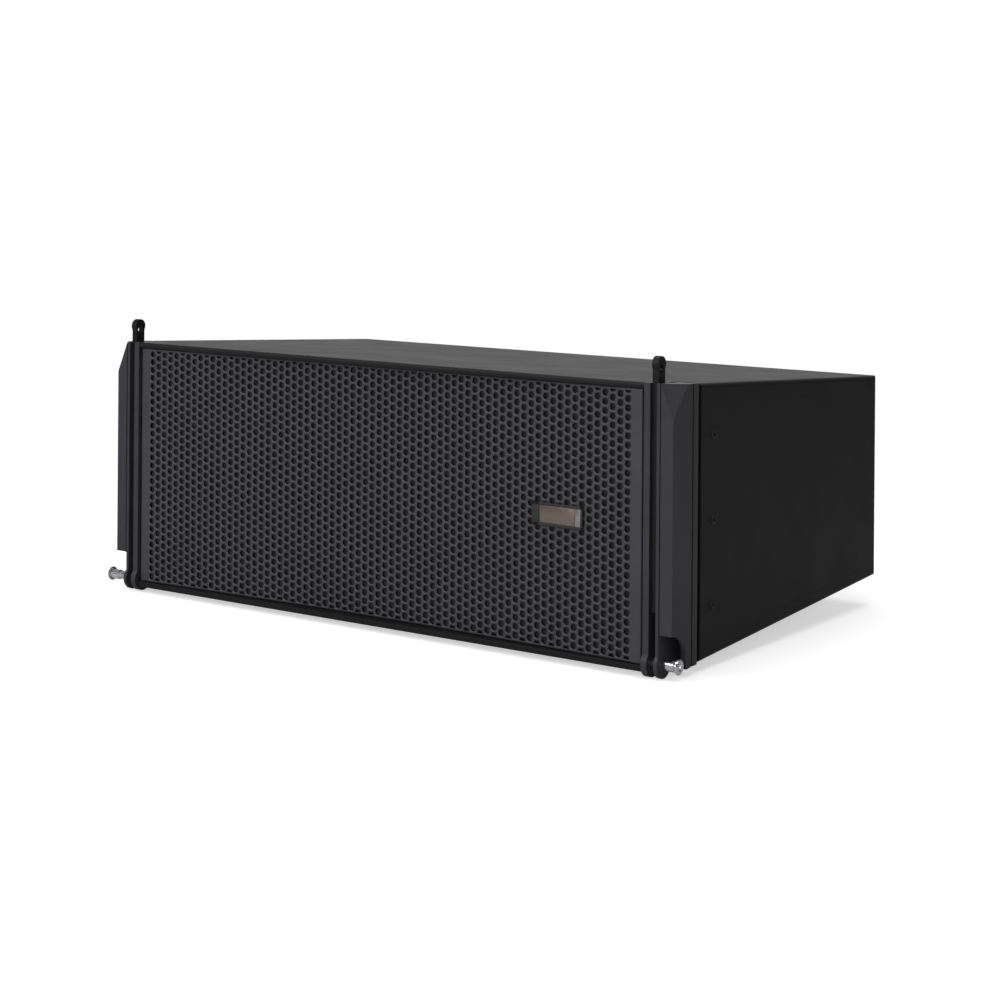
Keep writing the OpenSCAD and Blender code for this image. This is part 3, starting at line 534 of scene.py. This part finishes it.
def turned(profile, segments, closed=False):
    """A solid turned about +Z. The profile holds (radius, height) or (radius, height, outline) and runs
    up the outside, from axis to axis or, if closed, once round."""
    points, rings = [], []
    for radius, height, *outline in profile:
        if radius == 0:
            rings.append([len(points)])
            points.append((0, 0, height))
            continue
        kind = outline[0] if outline else "round"
        rings.append(list(range(len(points), len(points) + segments)))
        for i in range(segments):
            angle = 2 * math.pi * i / segments
            r = ring_radius(radius, angle, kind)
            points.append((r * math.cos(angle), r * math.sin(angle), height))
    pairs = list(zip(rings, rings[1:]))
    if closed:
        pairs.append((rings[-1], rings[0]))
    faces = []
    for low, high in pairs:
        for i in range(segments):
            j = (i + 1) % segments
            corners = [low[i % len(low)], low[j % len(low)], high[j % len(high)], high[i % len(high)]]
            faces.append(list(dict.fromkeys(corners)))
    return points, faces


def in_mm(profile):
    """A profile given in millimetres, in metres."""
    return [(radius * MM, height * MM, *rest) for radius, height, *rest in profile]


def form_of(work):
    """The points and faces of a finished bmesh, which is freed."""
    work.verts.index_update()
    form = [v.co.copy() for v in work.verts], [[v.index for v in f.verts] for f in work.faces]
    work.free()
    return form


def block(low, high, bevel):
    """A box with rounded edges."""
    low, high = Vector(low), Vector(high)
    work = bmesh.new()
    bmesh.ops.create_cube(work, size=1.0)
    for vertex in work.verts:
        vertex.co = Vector(a + (c + 0.5) * (b - a) for a, b, c in zip(low, high, vertex.co))
    bmesh.ops.bevel(work, geom=list(work.edges), offset=bevel, segments=2, profile=0.5, affect="EDGES")
    return form_of(work)


# ---------------------------------------------------------------- grille

HOLE = 7.2 * MM              # diameter of one hole
ROW = 9.3 * MM               # spacing of the holes up a column, and of the side facets' columns
MIDDLE_COLUMNS = 16          # columns on the middle facet
SIDE_MARGIN = 8 * MM         # least width of the plain strip at the pan's ends
SHEET = 1.5 * MM             # thickness of the steel
RIM = 1.8 * MM               # outer radius of the pan's folded edges
RIM_STEPS = 4
HOLE_SIDES = 16              # a multiple of 8, so that the cell's corners meet points of the hole
HOLE_SILL = 0.5 * MM         # sheet left between a half hole and the pan's edge


class Pan:
    """The outside of the folded pan. Its points go by their distance along the front and their height."""

    def __init__(self):
        self.low, self.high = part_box("grille")
        self.fold_x, self.fold_y = pan_fold()
        self.run = self.high.x - self.fold_x
        self.fall = self.fold_y - self.low.y
        self.side = math.hypot(self.run, self.fall)
        self.tilt = math.atan2(self.fall, self.run)
        self.side_columns = int((self.side - SIDE_MARGIN) / ROW)
        self.columns = MIDDLE_COLUMNS + 2 * self.side_columns
        self.margin = self.side - self.side_columns * ROW
        flat_height = self.high.z - self.low.z - 2 * self.fall * SLOPE - 2 * RIM
        self.rows = round(flat_height / ROW)
        self.row = flat_height / self.rows
        self.mid_z = (self.high.z + self.low.z) / 2

    def plan(self, along):
        """X and Y at a distance along the front from the left end."""
        past_left = min(along, self.side)
        past_middle = min(max(along - self.side, 0), 2 * self.fold_x)
        past_right = max(along - self.side - 2 * self.fold_x, 0)
        x = -self.high.x + (past_left + past_right) * math.cos(self.tilt) + past_middle
        y = self.low.y + (past_left - past_right) * math.sin(self.tilt)
        return x, y

    def front_at(self, x):
        """Y of the pan's front at a given X."""
        return self.low.y + self.fall * min(1, (self.high.x - abs(x)) / self.run)

    def point(self, along, z):
        x, y = self.plan(along)
        return Vector((x, y, z))

    def column_at(self, i):
        """Distance along the front of the i-th line between two columns."""
        middle_ones = min(max(i - self.side_columns, 0), MIDDLE_COLUMNS)
        return self.margin + (i - middle_ones) * ROW + middle_ones * 2 * self.fold_x / MIDDLE_COLUMNS

    def height_at(self, k):
        """Height of the k-th half row."""
        return self.mid_z + (k - self.rows) * self.row / 2

    def rim(self, i, k, inset, depth):
        """The point over lattice corner (i, k) on the pan's edge, in by inset and back by depth."""
        x, y = self.plan(self.column_at(i))
        z = self.height_at(k)
        if i in (0, self.columns):
            x = math.copysign(self.high.x - inset, x)
            y = self.front_at(x)
        if k in (0, 2 * self.rows):
            reach = self.high.z - self.mid_z - (y + depth - self.low.y) * SLOPE - inset
            z = self.mid_z + math.copysign(reach, z - self.mid_z)
        return Vector((x, y + depth, z))


def lattice_edge(last, top):
    """The places once round a lattice that runs from (0, 0) to (last, top)."""
    there = [(i, 0) for i in range(last)] + [(last, k) for k in range(top)]
    return there + [(i, top) for i in range(last, 0, -1)] + [(0, k) for k in range(top, 0, -1)]


def faces_round_hole(corners, hole, eighths):
    """Faces between a cell's outer points and its hole, whose eighths say where each point reaches it."""
    stops = [n * HOLE_SIDES // 8 for n in eighths]
    return [
        [a, b] + hole[start:stop + 1][::-1]
        for a, b, start, stop in zip(corners, corners[1:], stops, stops[1:])
    ]


def perforated_sheet(pan):
    """The outside of the pan: a staggered lattice of round holes and the folded edge round it."""
    shape = Shape()
    lattice = {}

    def corner(i, k):
        if (i, k) not in lattice:
            lattice[i, k] = len(shape.points)
            shape.points.append(pan.point(pan.column_at(i), pan.height_at(k)))
        return lattice[i, k]

    def hole_edge(i, k, up, count, sill):
        """The first points round the hole centred in column i at height k, none nearer k than the sill."""
        turns = [2 * math.pi * j / HOLE_SIDES for j in range(count)]
        return ring_of(shape, [
            pan.point(pan.column_at(i + 0.5) + up * HOLE / 2 * math.cos(a),
                      pan.height_at(k) + up * max(HOLE / 2 * math.sin(a), sill))
            for a in turns
        ])

    def hole_cell(i, k):
        around = [(i + 1, k + 1), (i + 1, k + 2), (i, k + 2), (i, k + 1), (i, k), (i + 1, k)]
        corners = [corner(*place) for place in around + around[:1]]
        hole = hole_edge(i, k + 1, 1, HOLE_SIDES, -HOLE)
        shape.faces.extend(faces_round_hole(corners, hole + hole[:1], (0, 1, 3, 4, 5, 7, 8)))

    def half_cell(i, k, up):
        """A half hole on the lattice's edge at height k: up is 1 at the bottom edge and -1 at the top."""
        right, left = (i + 1, i) if up > 0 else (i, i + 1)
        corners = [corner(right, k), corner(right, k + up), corner(left, k + up), corner(left, k)]
        hole = hole_edge(i, k, up, HOLE_SIDES // 2 + 1, HOLE_SILL)
        shape.faces.extend(faces_round_hole(corners, hole, (0, 1, 3, 4)))
        shape.faces.append([corners[3], corners[0], hole[0], hole[-1]])

    top = 2 * pan.rows
    for i in range(pan.columns):
        first = i % 2
        for k in range(first, top - 1, 2):
            hole_cell(i, k)
        if first:
            half_cell(i, 0, 1)
            half_cell(i, top, -1)
    loop = lattice_edge(pan.columns, top)
    rings = [[corner(i, k) for i, k in loop]]
    turns = [math.pi / 2 * n / RIM_STEPS for n in range(RIM_STEPS + 1)]
    path = [(RIM * (1 - math.sin(a)), RIM * (1 - math.cos(a))) for a in turns]
    for inset, depth in path:
        rings.append(ring_of(shape, [pan.rim(i, k, inset, depth) for i, k in loop]))
    ends = [pan.rim(i, k, 0, 0) for i, k in loop]
    backs = [pan.rim(i, k, 0, pan.high.y - point.y) for (i, k), point in zip(loop, ends)]
    rings.append(ring_of(shape, backs))
    for inner, outer in zip(rings, rings[1:]):
        for n in range(len(loop)):
            m = (n + 1) % len(loop)
            shape.faces.append([inner[n], outer[n], outer[m], inner[m]])
    return shape


def ring_of(shape, points):
    """Adds points to a shape and says where they are in its list."""
    start = len(shape.points)
    shape.points.extend(points)
    return list(range(start, start + len(points)))


def build_grille(pan):
    sheet = perforated_sheet(pan).piece("grille_perforated", "grille_steel", sharp=40, replaces=["grille"])
    thick = sheet.modifiers.new("sheet", "SOLIDIFY")
    thick.thickness = SHEET
    thick.offset = -1
    thick.use_even_offset = True


def build_foam(pan):
    """The foam behind the grille: a folded slab with a lumpy face."""
    low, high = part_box("grille_foam")
    across, up = 150, 54                       # cells of the lumpy face
    near = 2 * SHEET
    lumps = 0.35 * MM
    shape = Shape()

    def at(i, k, depth, reach, lump):
        x = low.x + (high.x - low.x) * i / across
        z = pan.mid_z + reach * (2 * k / up - 1)
        dent = lump * (1 + noise.noise(Vector((x, 0, z)) / (4 * MM)))
        return Vector((x, pan.front_at(x) + depth + dent, z))

    back = high.y - pan.fold_y - 0.1 * MM
    front_reach = (pan.high.z - pan.low.z) / 2 - (pan.fall + near) * SLOPE - near
    layers = ((near, front_reach, lumps), (back, (high.z - low.z) / 2, 0))
    grid = {}
    for side, (depth, reach, lump) in enumerate(layers):
        for i in range(across + 1):
            for k in range(up + 1):
                grid[side, i, k] = len(shape.points)
                shape.points.append(at(i, k, depth, reach, lump))
    for i in range(across):
        for k in range(up):
            for side in (0, 1):
                shape.faces.append([grid[side, i, k], grid[side, i + 1, k],
                                    grid[side, i + 1, k + 1], grid[side, i, k + 1]])
    edge = lattice_edge(across, up)
    for (i, k), (j, m) in zip(edge, edge[1:] + edge[:1]):
        shape.faces.append([grid[0, i, k], grid[1, i, k], grid[1, j, m], grid[0, j, m]])
    shape.piece("grille_foam_sheet", "foam", replaces=["grille_foam"])


def build_felt():
    """The lining pads: crowned slabs with soft edges and a matted face."""
    shape = Shape()
    steps, crown, squareness = 22, 2.5 * MM, 12
    for low, high in solids_of("acoustic_lining"):
        centre, half = (low + high) / 2, (high - low) / 2
        lean = SLOPE if half.x > half.z else 0
        half.z -= lean * half.y
        thin = min(range(3), key=lambda n: half[n])
        work = bmesh.new()
        bmesh.ops.create_cube(work, size=2.0)
        bmesh.ops.subdivide_edges(work, edges=list(work.edges), cuts=steps, use_grid_fill=True)
        for vertex in work.verts:
            u = vertex.co.copy()
            place = Vector(centre[n] + half[n] * u[n] for n in range(3))
            sink = 0.5 * MM * (1 + noise.noise(place / (7 * MM)))
            round_off = max(abs(u[n]) ** squareness for n in range(3) if n != thin)
            place[thin] -= math.copysign(sink + crown * round_off, u[thin])
            place.z -= lean * (place.y - centre.y)
            vertex.co = place
        shape.add(form_of(work))
    shape.piece("felt_pads", "felt", sharp=60, replaces=["acoustic_lining"])


# ---------------------------------------------------------------- hardware

PIN_SHOULDER = 4.0           # the pin's steps, in millimetres out from its seat
PIN_BODY = 14.0
PIN_NECK = 16.5
PIN_END = 19.0
SHAFT_R = 4.0                # and its radii
BODY_R = 5.8
HEAD_R = 8.0
BUTTON_R = 2.8
BUTTON_L = 7.5
BUTTON_OUT = 2.5             # how far the button stands out of the head
BUTTON_BORE = 7.4


def pin_profile(shaft):
    """A quick-release pin standing on its seat: shaft below, then shoulder, body, neck and a thin head."""
    groove, bore_r = SHAFT_R - 0.4, BUTTON_R + 0.05
    return in_mm([
        (0, -shaft), (3.0, -shaft), (SHAFT_R, 1.0 - shaft), (SHAFT_R, 2.4 - shaft), (groove, 2.8 - shaft),
        (groove, 3.6 - shaft), (SHAFT_R, 4.0 - shaft), (SHAFT_R, 0.2), (4.3, 0.2), (4.6, 0.5),
        (4.6, PIN_SHOULDER), (5.3, PIN_SHOULDER), (BODY_R, PIN_SHOULDER + 0.5), (BODY_R, PIN_BODY - 2.2),
        (5.5, PIN_BODY - 1.9), (5.5, PIN_BODY - 1.3), (BODY_R, PIN_BODY - 1.0), (BODY_R, PIN_BODY - 0.5),
        (5.3, PIN_BODY), (4.5, PIN_BODY), (4.2, PIN_BODY + 0.3), (4.2, PIN_NECK - 0.3), (4.5, PIN_NECK),
        (7.5, PIN_NECK), (HEAD_R, PIN_NECK + 0.5, "knurl"), (HEAD_R, PIN_END - 0.9, "knurl"),
        (7.5, PIN_END - 0.4), (6.9, PIN_END), (3.9, PIN_END), (3.2, PIN_END - 0.4), (bore_r, PIN_END - 1.0),
        (bore_r, PIN_END - BUTTON_BORE), (0, PIN_END - BUTTON_BORE),
    ])


def button_profile():
    """The domed push button in a pin's head."""
    top = PIN_END + BUTTON_OUT
    start = top - BUTTON_L
    return in_mm([
        (0, start), (2.4, start), (BUTTON_R, start + 0.4), (BUTTON_R, top - 1.0), (2.5, top - 0.35),
        (1.9, top - 0.05), (1.2, top - 0.15), (0, top - 0.3),
    ])


def build_pins():
    """Three quick-release pins and their push buttons, turned from the CAD pins' boxes."""
    for name, outwards in (("left", -1), ("right", 1), ("rear", 1)):
        low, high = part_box(name + "_lock_pin")
        length = (high.x - low.x) / MM
        seat = length - PIN_END
        tip = low if outwards > 0 else high
        place = Vector((tip.x + outwards * seat * MM, (low.y + high.y) / 2, (low.z + high.z) / 2))
        where = aimed(place, (outwards, 0, 0))
        pin = Shape().add(turned(pin_profile(seat), 96), where)
        pin.piece(name + "_pin_turned", "pin_chrome", name + "_pin", 30, [name + "_lock_pin"])
        button = Shape().add(turned(button_profile(), 40), where)
        button.piece(name + "_button_turned", "pin_chrome", name + "_button", 30, [name + "_pin_button"])


def screw_form(head_r, head_h, shank_r, shank_l):
    """A button-head screw with a hexagonal socket: its head sits at 0, its shank is below. In millimetres."""
    key = 0.45 * head_r
    return turned(in_mm([
        (0, -shank_l), (0.6 * shank_r, -shank_l), (shank_r, 1.2 - shank_l), (shank_r, 0), (head_r, 0),
        (head_r, 0.25 * head_h), (0.93 * head_r, 0.6 * head_h), (0.78 * head_r, 0.87 * head_h),
        (0.6 * head_r, head_h), (key, head_h, "hexagon"), (0.94 * key, 0.25 * head_h, "hexagon"),
        (0, 0.12 * head_h),
    ]), 36)


def build_screws():
    """The screws on the cabinet's sides, which face outwards, and round the drivers, which face forwards."""
    kinds = (("rigging_screws", "side_button_screws", 0), ("driver_screws", "driver_button_screws", 1))
    for node, name, axis in kinds:
        shape = Shape()
        for low, high in solids_of(node):
            place, size = (low + high) / 2, high - low
            out = Vector((0, 0, 0))
            out[axis] = math.copysign(1, place.x) if axis == 0 else -1
            head_r = size.z / 2 / MM
            shank_r, head_h = 0.55 * head_r, 0.35 * head_r
            end = high if out[axis] > 0 else low
            place[axis] = end[axis] - out[axis] * head_h * MM
            shape.add(screw_form(head_r, head_h, shank_r, size[axis] / MM - head_h), aimed(place, out, 15))
        shape.piece(name, "black_screws", replaces=[node])


def build_badge(pan):
    """A blank badge: a dark bevelled frame round a warm brushed field and a pale band. It carries no mark."""
    low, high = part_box("badge_plate")
    place = (low + high) / 2
    place.y -= 0.2 * MM
    turn = Matrix.Translation(place) @ Matrix.Rotation(-pan.tilt, 4, "Z")
    half_w = 0.5 * (high.x - low.x) / math.cos(pan.tilt)
    half_h = 0.5 * (high.z - low.z)
    bezel = 3 * MM
    front, back = -1.1 * MM, 0.9 * MM
    border = Shape()
    border.add(block((-half_w, 0, -half_h), (half_w, back, half_h), 0.4 * MM), turn)
    bars = (
        ((-half_w, front, half_h - bezel), (half_w, back, half_h)),
        ((-half_w, front, -half_h), (half_w, back, bezel - half_h)),
        ((-half_w, front, -half_h), (-half_w + 3 * bezel, back, half_h)),
        ((half_w - bezel, front, -half_h), (half_w, back, half_h)),
    )
    for start, end in bars:
        border.add(block(start, end, 0.35 * MM), turn)
    border.piece("badge_frame", "black_plastic", replaces=["badge_plate"])
    field_x = half_w - 3.4 * bezel
    band_x = field_x + 0.6 * MM
    sunk = 0.3 * MM
    bottom, top = bezel - half_h, half_h - bezel
    field = block((-half_w + 3 * bezel, -0.6 * MM, bottom), (field_x, sunk, top), 0.25 * MM)
    Shape().add(field, turn).piece("badge_field", "badge")
    band = block((band_x, -0.8 * MM, bottom), (half_w - bezel, sunk, top), 0.25 * MM)
    made = Shape().add(band, turn).piece("badge_band", "badge")
    made.data.materials[0] = look("badge_band")


def build_connectors():
    """Two locking loudspeaker sockets: square flange, raised ring, contact strips and two screws each."""
    socket = mounts["cable_socket_a"]["dims"]
    plate_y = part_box("input_plate")[1].y
    plastic, metal_parts = Shape(), Shape()
    for low, high in solids_of("speaker_connectors"):
        centre = (low + high) / 2
        flange, thick = (high.x - low.x) / 2 / MM, 3.0
        depth = (plate_y - low.y) / MM
        where = aimed((centre.x, plate_y, centre.z), BACK)
        bore = socket["r_mm"]
        bore_end = thick - socket["length_mm"]
        plastic.add(turned(in_mm([
            (0, -depth), (12.4, -depth), (13, 0.8 - depth), (13, 0.03), (flange - 0.3, 0.03, "square"),
            (flange, 0.4, "square"), (flange, 2.3, "square"), (flange - 0.7, thick, "square"), (14.0, thick),
            (13.7, 3.9), (13.2, 4.3), (bore + 0.9, 4.3), (bore + 0.1, 3.6), (bore + 0.05, bore_end),
            (0, bore_end),
        ]), 96), where)
        contacts = 4
        for n in range(contacts):
            spin = where @ Matrix.Rotation(math.radians(45 + 360 / contacts * n), 4, "Z")
            start = (bore - 0.7) * MM, -1.6 * MM, (bore_end + 1) * MM
            end = (bore + 0.2) * MM, 1.6 * MM, -4 * MM
            metal_parts.add(block(start, end, 0.2 * MM), spin)
        corner = 0.76 * flange * MM
        for sx, sz in ((-1, 1), (1, -1)):
            place = (centre.x + sx * corner, plate_y + thick * MM, centre.z + sz * corner)
            metal_parts.add(screw_form(2.4, 1.0, 1.3, 5), aimed(place, BACK))
    plastic.piece("cable_sockets", "connector_plastic", replaces=["speaker_connectors"])
    metal_parts.piece("cable_socket_metal", "zinc_steel")


def build_input_plate_trim():
    """Four corner screws and a pressed border on the input plate."""
    low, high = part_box("input_plate")
    screws, border = Shape(), Shape()
    inset = 7 * MM
    for x in (low.x + inset, high.x - inset):
        for z in (low.z + inset, high.z - inset):
            screws.add(screw_form(3.6, 1.5, 1.9, 12), aimed((x, high.y, z), BACK, 20))
    line, raise_by = 1.6 * MM, 0.5 * MM
    edge = 13 * MM
    x0, x1, z0, z1 = low.x + edge, high.x - edge, low.z + edge, high.z - edge
    strips = (((x0, z0), (x1, z0 + line)), ((x0, z1 - line), (x1, z1)),
              ((x0, z0), (x0 + line, z1)), ((x1 - line, z0), (x1, z1)))
    for (a, b), (c, d) in strips:
        border.add(block((a, high.y - raise_by, b), (c, high.y + raise_by, d), 0.3 * MM))
    screws.piece("input_plate_screws", "black_screws")
    border.piece("input_plate_border", "rigging_steel")


def build_handle_grips():
    """A ribbed rubber sleeve on each carry handle."""
    shape = Shape()
    for low, high in solids_of("carry_handles"):
        bar_r = 7.0                            # the handle's bar, in millimetres
        ring = in_mm([(bar_r + 2.4, 0.0), (bar_r + 2.4, 2.6), (bar_r + 1.5, 3.2), (bar_r + 1.5, 3.9)])
        pitch = 4.6 * MM
        bends = 50 * MM                        # length taken up by the handle's two bends
        lip = 0.4 * MM
        count = int((high.x - low.x - bends) / pitch)
        length = count * pitch
        profile = [(bar_r * MM, 0), ((bar_r + 1.6) * MM, 0)]
        for n in range(count):
            profile += [(radius, height + n * pitch + lip) for radius, height in ring]
        profile += [((bar_r + 1.6) * MM, length + lip), (bar_r * MM, length + lip)]
        place = ((low.x + high.x) / 2 - length / 2, high.y - bar_r * MM, (low.z + high.z) / 2)
        shape.add(turned(profile, 40, closed=True), aimed(place, (1, 0, 0)))
    shape.piece("handle_sleeves", "surround_rubber")


# ---------------------------------------------------------------- soft parts of the drivers

def radial_blend(obj, side):
    """Bakes a ring's placement into its mesh."""
    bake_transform(obj)


def surround_profile():
    """Half roll between two flat lips, as (radius, height towards the back), in millimetres."""
    inner_lip, middle_r, outer_lip = 92.0, 101.0, 111.8
    front, back = -6.2, -5.05
    roll, skin = 6.0, 1.2
    inside = roll - skin
    turns = [math.pi * n / 14 for n in range(15)]
    return [
        (inner_lip, front),
        *((middle_r - roll * math.cos(a), front - (roll - 0.3) * math.sin(a)) for a in turns),
        (outer_lip, front), (outer_lip, back),
        *((middle_r + inside * math.cos(a), back - (inside + 0.2) * math.sin(a)) for a in turns),
        (inner_lip, back),
    ]


def spider_profile():
    """A corrugated disc, as (radius, height towards the back), in millimetres."""
    inner, outer, seat, thick = 32.65, 62.5, 61.4, 0.5
    waves, wave_height = 5, 0.75
    steps = 14 * waves
    top, under = [], []
    for n in range(steps + 1):
        radius = inner + (outer - inner) * n / steps
        rest = min(1, n / 6, (steps - n) / 6)
        height = seat - wave_height * (1 - rest * math.sin(2 * math.pi * waves * n / steps))
        top.append((radius, height - thick / 2))
        under.append((radius, height + thick / 2))
    return top + under[::-1]


def build_suspensions():
    """The rubber surround and the cloth spider of each woofer."""
    seat_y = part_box("front_baffle")[0].y
    for side in ("left", "right"):
        centre = middle(side + "_woofer_surround")
        where = aimed((centre.x, seat_y, centre.z), BACK)
        parts = (                              # the last two are the ring's inner and outer radii
            ("surround", "surround_rubber", surround_profile(), 96.5, 107.0),
            ("spider", "spider_cloth", spider_profile(), 33.5, 61.0),
        )
        for part, slot, profile, inner, outer in parts:
            shape = Shape().add(turned(in_mm(profile), 96, closed=True), where)
            name = f"{side}_{part}_formed"
            ring = shape.piece(name, slot, None, 70, [f"{side}_woofer_{part}"])
            radial_blend(ring, side)


PATH_STEP = 3 * MM           # spacing of the points on a cable's path


def walk(path):
    """Each point of a path with two directions across it, which turn as little as they can."""
    normal = None
    for n, place in enumerate(path):
        ahead = (path[min(n + 1, len(path) - 1)] - path[max(n - 1, 0)]).normalized()
        seed = normal if normal is not None else ahead.orthogonal()
        normal = (seed - ahead * seed.dot(ahead)).normalized()
        yield place, normal, ahead.cross(normal)


def tube(path, radius):
    """A round tube along a path, closed at both ends."""
    points, faces = [], []
    sides = 10
    for place, normal, across in walk(path):
        for i in range(sides):
            angle = 2 * math.pi * i / sides
            points.append(place + radius * (normal * math.cos(angle) + across * math.sin(angle)))
    for a in range(0, len(points) - sides, sides):
        for i in range(sides):
            j = (i + 1) % sides
            faces.append([a + i, a + j, a + sides + j, a + sides + i])
    faces.append(list(range(sides))[::-1])
    faces.append(list(range(len(points) - sides, len(points))))
    return points, faces


def twisted(path, radius, pitch, phase):
    """A path that winds round another one."""
    wound = []
    for n, (place, normal, across) in enumerate(walk(path)):
        angle = phase + 2 * math.pi * n * PATH_STEP / pitch
        wound.append(place + radius * (normal * math.cos(angle) + across * math.sin(angle)))
    return wound


def rounded_path(path):
    """Cuts a path's corners again and again until it runs smoothly, then spaces its points evenly."""
    rounds = 4
    for _ in range(rounds):
        cut = [path[0]]
        for a, b in zip(path, path[1:]):
            cut += [a.lerp(b, 0.25), a.lerp(b, 0.75)]
        path = cut + [path[-1]]
    spaced, left = [path[0]], PATH_STEP
    for a, b in zip(path, path[1:]):
        length = (b - a).length
        while length >= left:
            a = a.lerp(b, left / length)
            spaced.append(a)
            length -= left
            left = PATH_STEP
        left -= length
    return spaced


def build_wiring():
    """Two twisted pairs: from the input sockets to the crossover, and from the crossover to the tweeter."""
    first, second = solids_of("internal_wiring")
    feed, run = (first, second) if first[0].y < second[0].y else (second, first)
    reach = 2 * MM                             # from the side of a run's box to the middle of the pair
    wire_r, lay, pitch = 0.95 * MM, 1.05 * MM, 16 * MM
    hub = run[0] + Vector((reach, reach, reach))
    socket = Vector((run[1].x - reach, run[1].y, run[1].z - reach))
    level = Vector((socket.x, hub.y, socket.z))
    over = Vector((hub.x, hub.y, socket.z))
    start = Vector((feed[1].x - reach, feed[1].y - reach, feed[0].z + reach))
    rise = Vector((start.x, start.y, feed[1].z - reach))
    bend = Vector((rise.x, feed[0].y + reach, rise.z))
    end = Vector((feed[0].x + reach, bend.y, rise.z))
    shape = Shape()
    for corners in ((socket, level, over, hub), (start, rise, bend, end)):
        centre = rounded_path(corners)
        for phase in (0, math.pi):
            shape.add(tube(twisted(centre, lay, pitch, phase), wire_r))
    shape.piece("internal_wiring_pairs", "copper", replaces=["internal_wiring"])


# ---------------------------------------------------------------- studio

FLOOR_SIZE = 40.0            # from the middle to an edge
FLOOR_BOUNCE = 0.50          # tone of the floor in what it reflects onto the object
FLOOR_GLOW = 0.04            # light given off by the floor, and its lift for the camera
FLOOR_SEEN = 0.55
FLOOR_FADE = (0.7, 2.0)      # the floor turns white between these distances from the origin
WORLD_LIGHT = (0.26, 0.03)   # strength of the light from -X and from +X
LIGHTS = (                   # name, place and size in metres, power in watts
    ("overhead", (0.1, 0.3, 2.4), (3.0, 2.2), 40),
    ("key", (-1.6, -2.4, 2.0), (1.6, 1.2), 34),
    ("front_fill", (0.6, -2.7, 0.9), (2.0, 1.2), 24),
    ("back_card", (-1.7, 3.2, 0.9), (3.4, 1.8), 15),
    ("corner_card", (2.8, 0.6, 1.6), (0.9, 0.9), 7),
)
CAMERA_PLACE = (1.4738, -1.8460, 0.5196)
CAMERA_YAW = math.radians(35.19)
CAMERA_ROLL = 0.0076         # in radians
LENS = 77.5                  # focal length and width of the sensor, in millimetres
SENSOR = 36.0
LENS_SHIFT = -0.348          # as a share of the picture
STAND_SLACK = 0.05           # how far the camera may be from its stand before the shift is gone


def build_floor():
    work = bmesh.new()
    bmesh.ops.create_grid(work, x_segments=8, y_segments=8, size=FLOOR_SIZE)
    mesh = bpy.data.meshes.new("studio_floor")
    work.to_mesh(mesh)
    work.free()
    floor = new_object("studio_floor", mesh)
    floor.location.z = cad_box[0].z - 0.5 * MM
    mesh.materials.append(look("studio_floor"))


def build_world():
    """White behind the object for the camera, a softer white as light."""
    world = bpy.data.worlds.new("studio")
    bpy.context.scene.world = world
    world.use_nodes = True
    tree = world.node_tree
    tree.nodes.clear()
    seen = add(tree, "ShaderNodeBackground", Color=grey(1.0), Strength=1.0)
    way = tree.nodes.new("ShaderNodeTexCoord").outputs["Generated"]
    across = add(tree, "ShaderNodeSeparateXYZ", Vector=way).outputs["X"]
    lit = add(tree, "ShaderNodeBackground", Color=grey(1.0, (0.97, 0.985, 1.0)),
              Strength=ramp(tree, across, *WORLD_LIGHT, -1.0, 1.0))
    path = tree.nodes.new("ShaderNodeLightPath")
    mix = tree.nodes.new("ShaderNodeMixShader")
    plug_in_order(tree, mix, path.outputs["Is Camera Ray"], lit.outputs[0], seen.outputs[0])
    add(tree, "ShaderNodeOutputWorld", Surface=mix.outputs["Shader"])


def build_lights():
    """Soft panels aimed at the object's middle, which the camera doesn't see."""
    centre = (cad_box[0] + cad_box[1]) / 2
    for name, place, size, power in LIGHTS:
        lamp = bpy.data.lights.new(name, "AREA")
        lamp.shape = "RECTANGLE"
        lamp.size, lamp.size_y = size
        lamp.energy = power
        obj = new_object(name, lamp)
        obj.location = place
        obj.rotation_euler = (centre - Vector(place)).to_track_quat("-Z", "Y").to_euler()
        obj.visible_camera = False


def build_camera():
    """The photo's stand: a level camera with a lens shifted down."""
    camera = bpy.data.cameras.new("camera")
    camera.lens = LENS
    camera.sensor_width = SENSOR
    camera.clip_end = 100
    obj = new_object("camera", camera)
    turn = Matrix.Rotation(CAMERA_YAW, 4, "Z") @ Matrix.Rotation(math.pi / 2, 4, "X")
    obj.matrix_world = Matrix.Translation(CAMERA_PLACE) @ turn @ Matrix.Rotation(CAMERA_ROLL, 4, "Z")
    bpy.context.scene.camera = obj
    shift_at_stand(camera, obj)


def shift_at_stand(camera, obj):
    """Keeps the lens shift while the camera is at its own stand, and drops it anywhere else."""
    curve = camera.driver_add("shift_y")
    driver = curve.driver
    driver.type = "SUM"
    away = driver.variables.new()
    away.name = "x"
    away.type = "TRANSFORMS"
    away.targets[0].id = obj
    away.targets[0].transform_type = "LOC_X"
    while curve.modifiers:
        curve.modifiers.remove(curve.modifiers[0])
    stand = CAMERA_PLACE[0]
    for place, shift in ((stand - STAND_SLACK, 0), (stand, LENS_SHIFT), (stand + STAND_SLACK, 0)):
        key = curve.keyframe_points.insert(place, shift)
        key.interpolation = "LINEAR"


def main():
    dress_cad_nodes()
    pan = Pan()
    build_grille(pan)
    build_foam(pan)
    build_felt()
    build_pins()
    build_screws()
    build_badge(pan)
    build_connectors()
    build_input_plate_trim()
    build_handle_grips()
    build_suspensions()
    build_wiring()
    build_floor()
    build_world()
    build_lights()
    build_camera()
    bpy.context.scene.view_settings.view_transform = "Standard"


main()
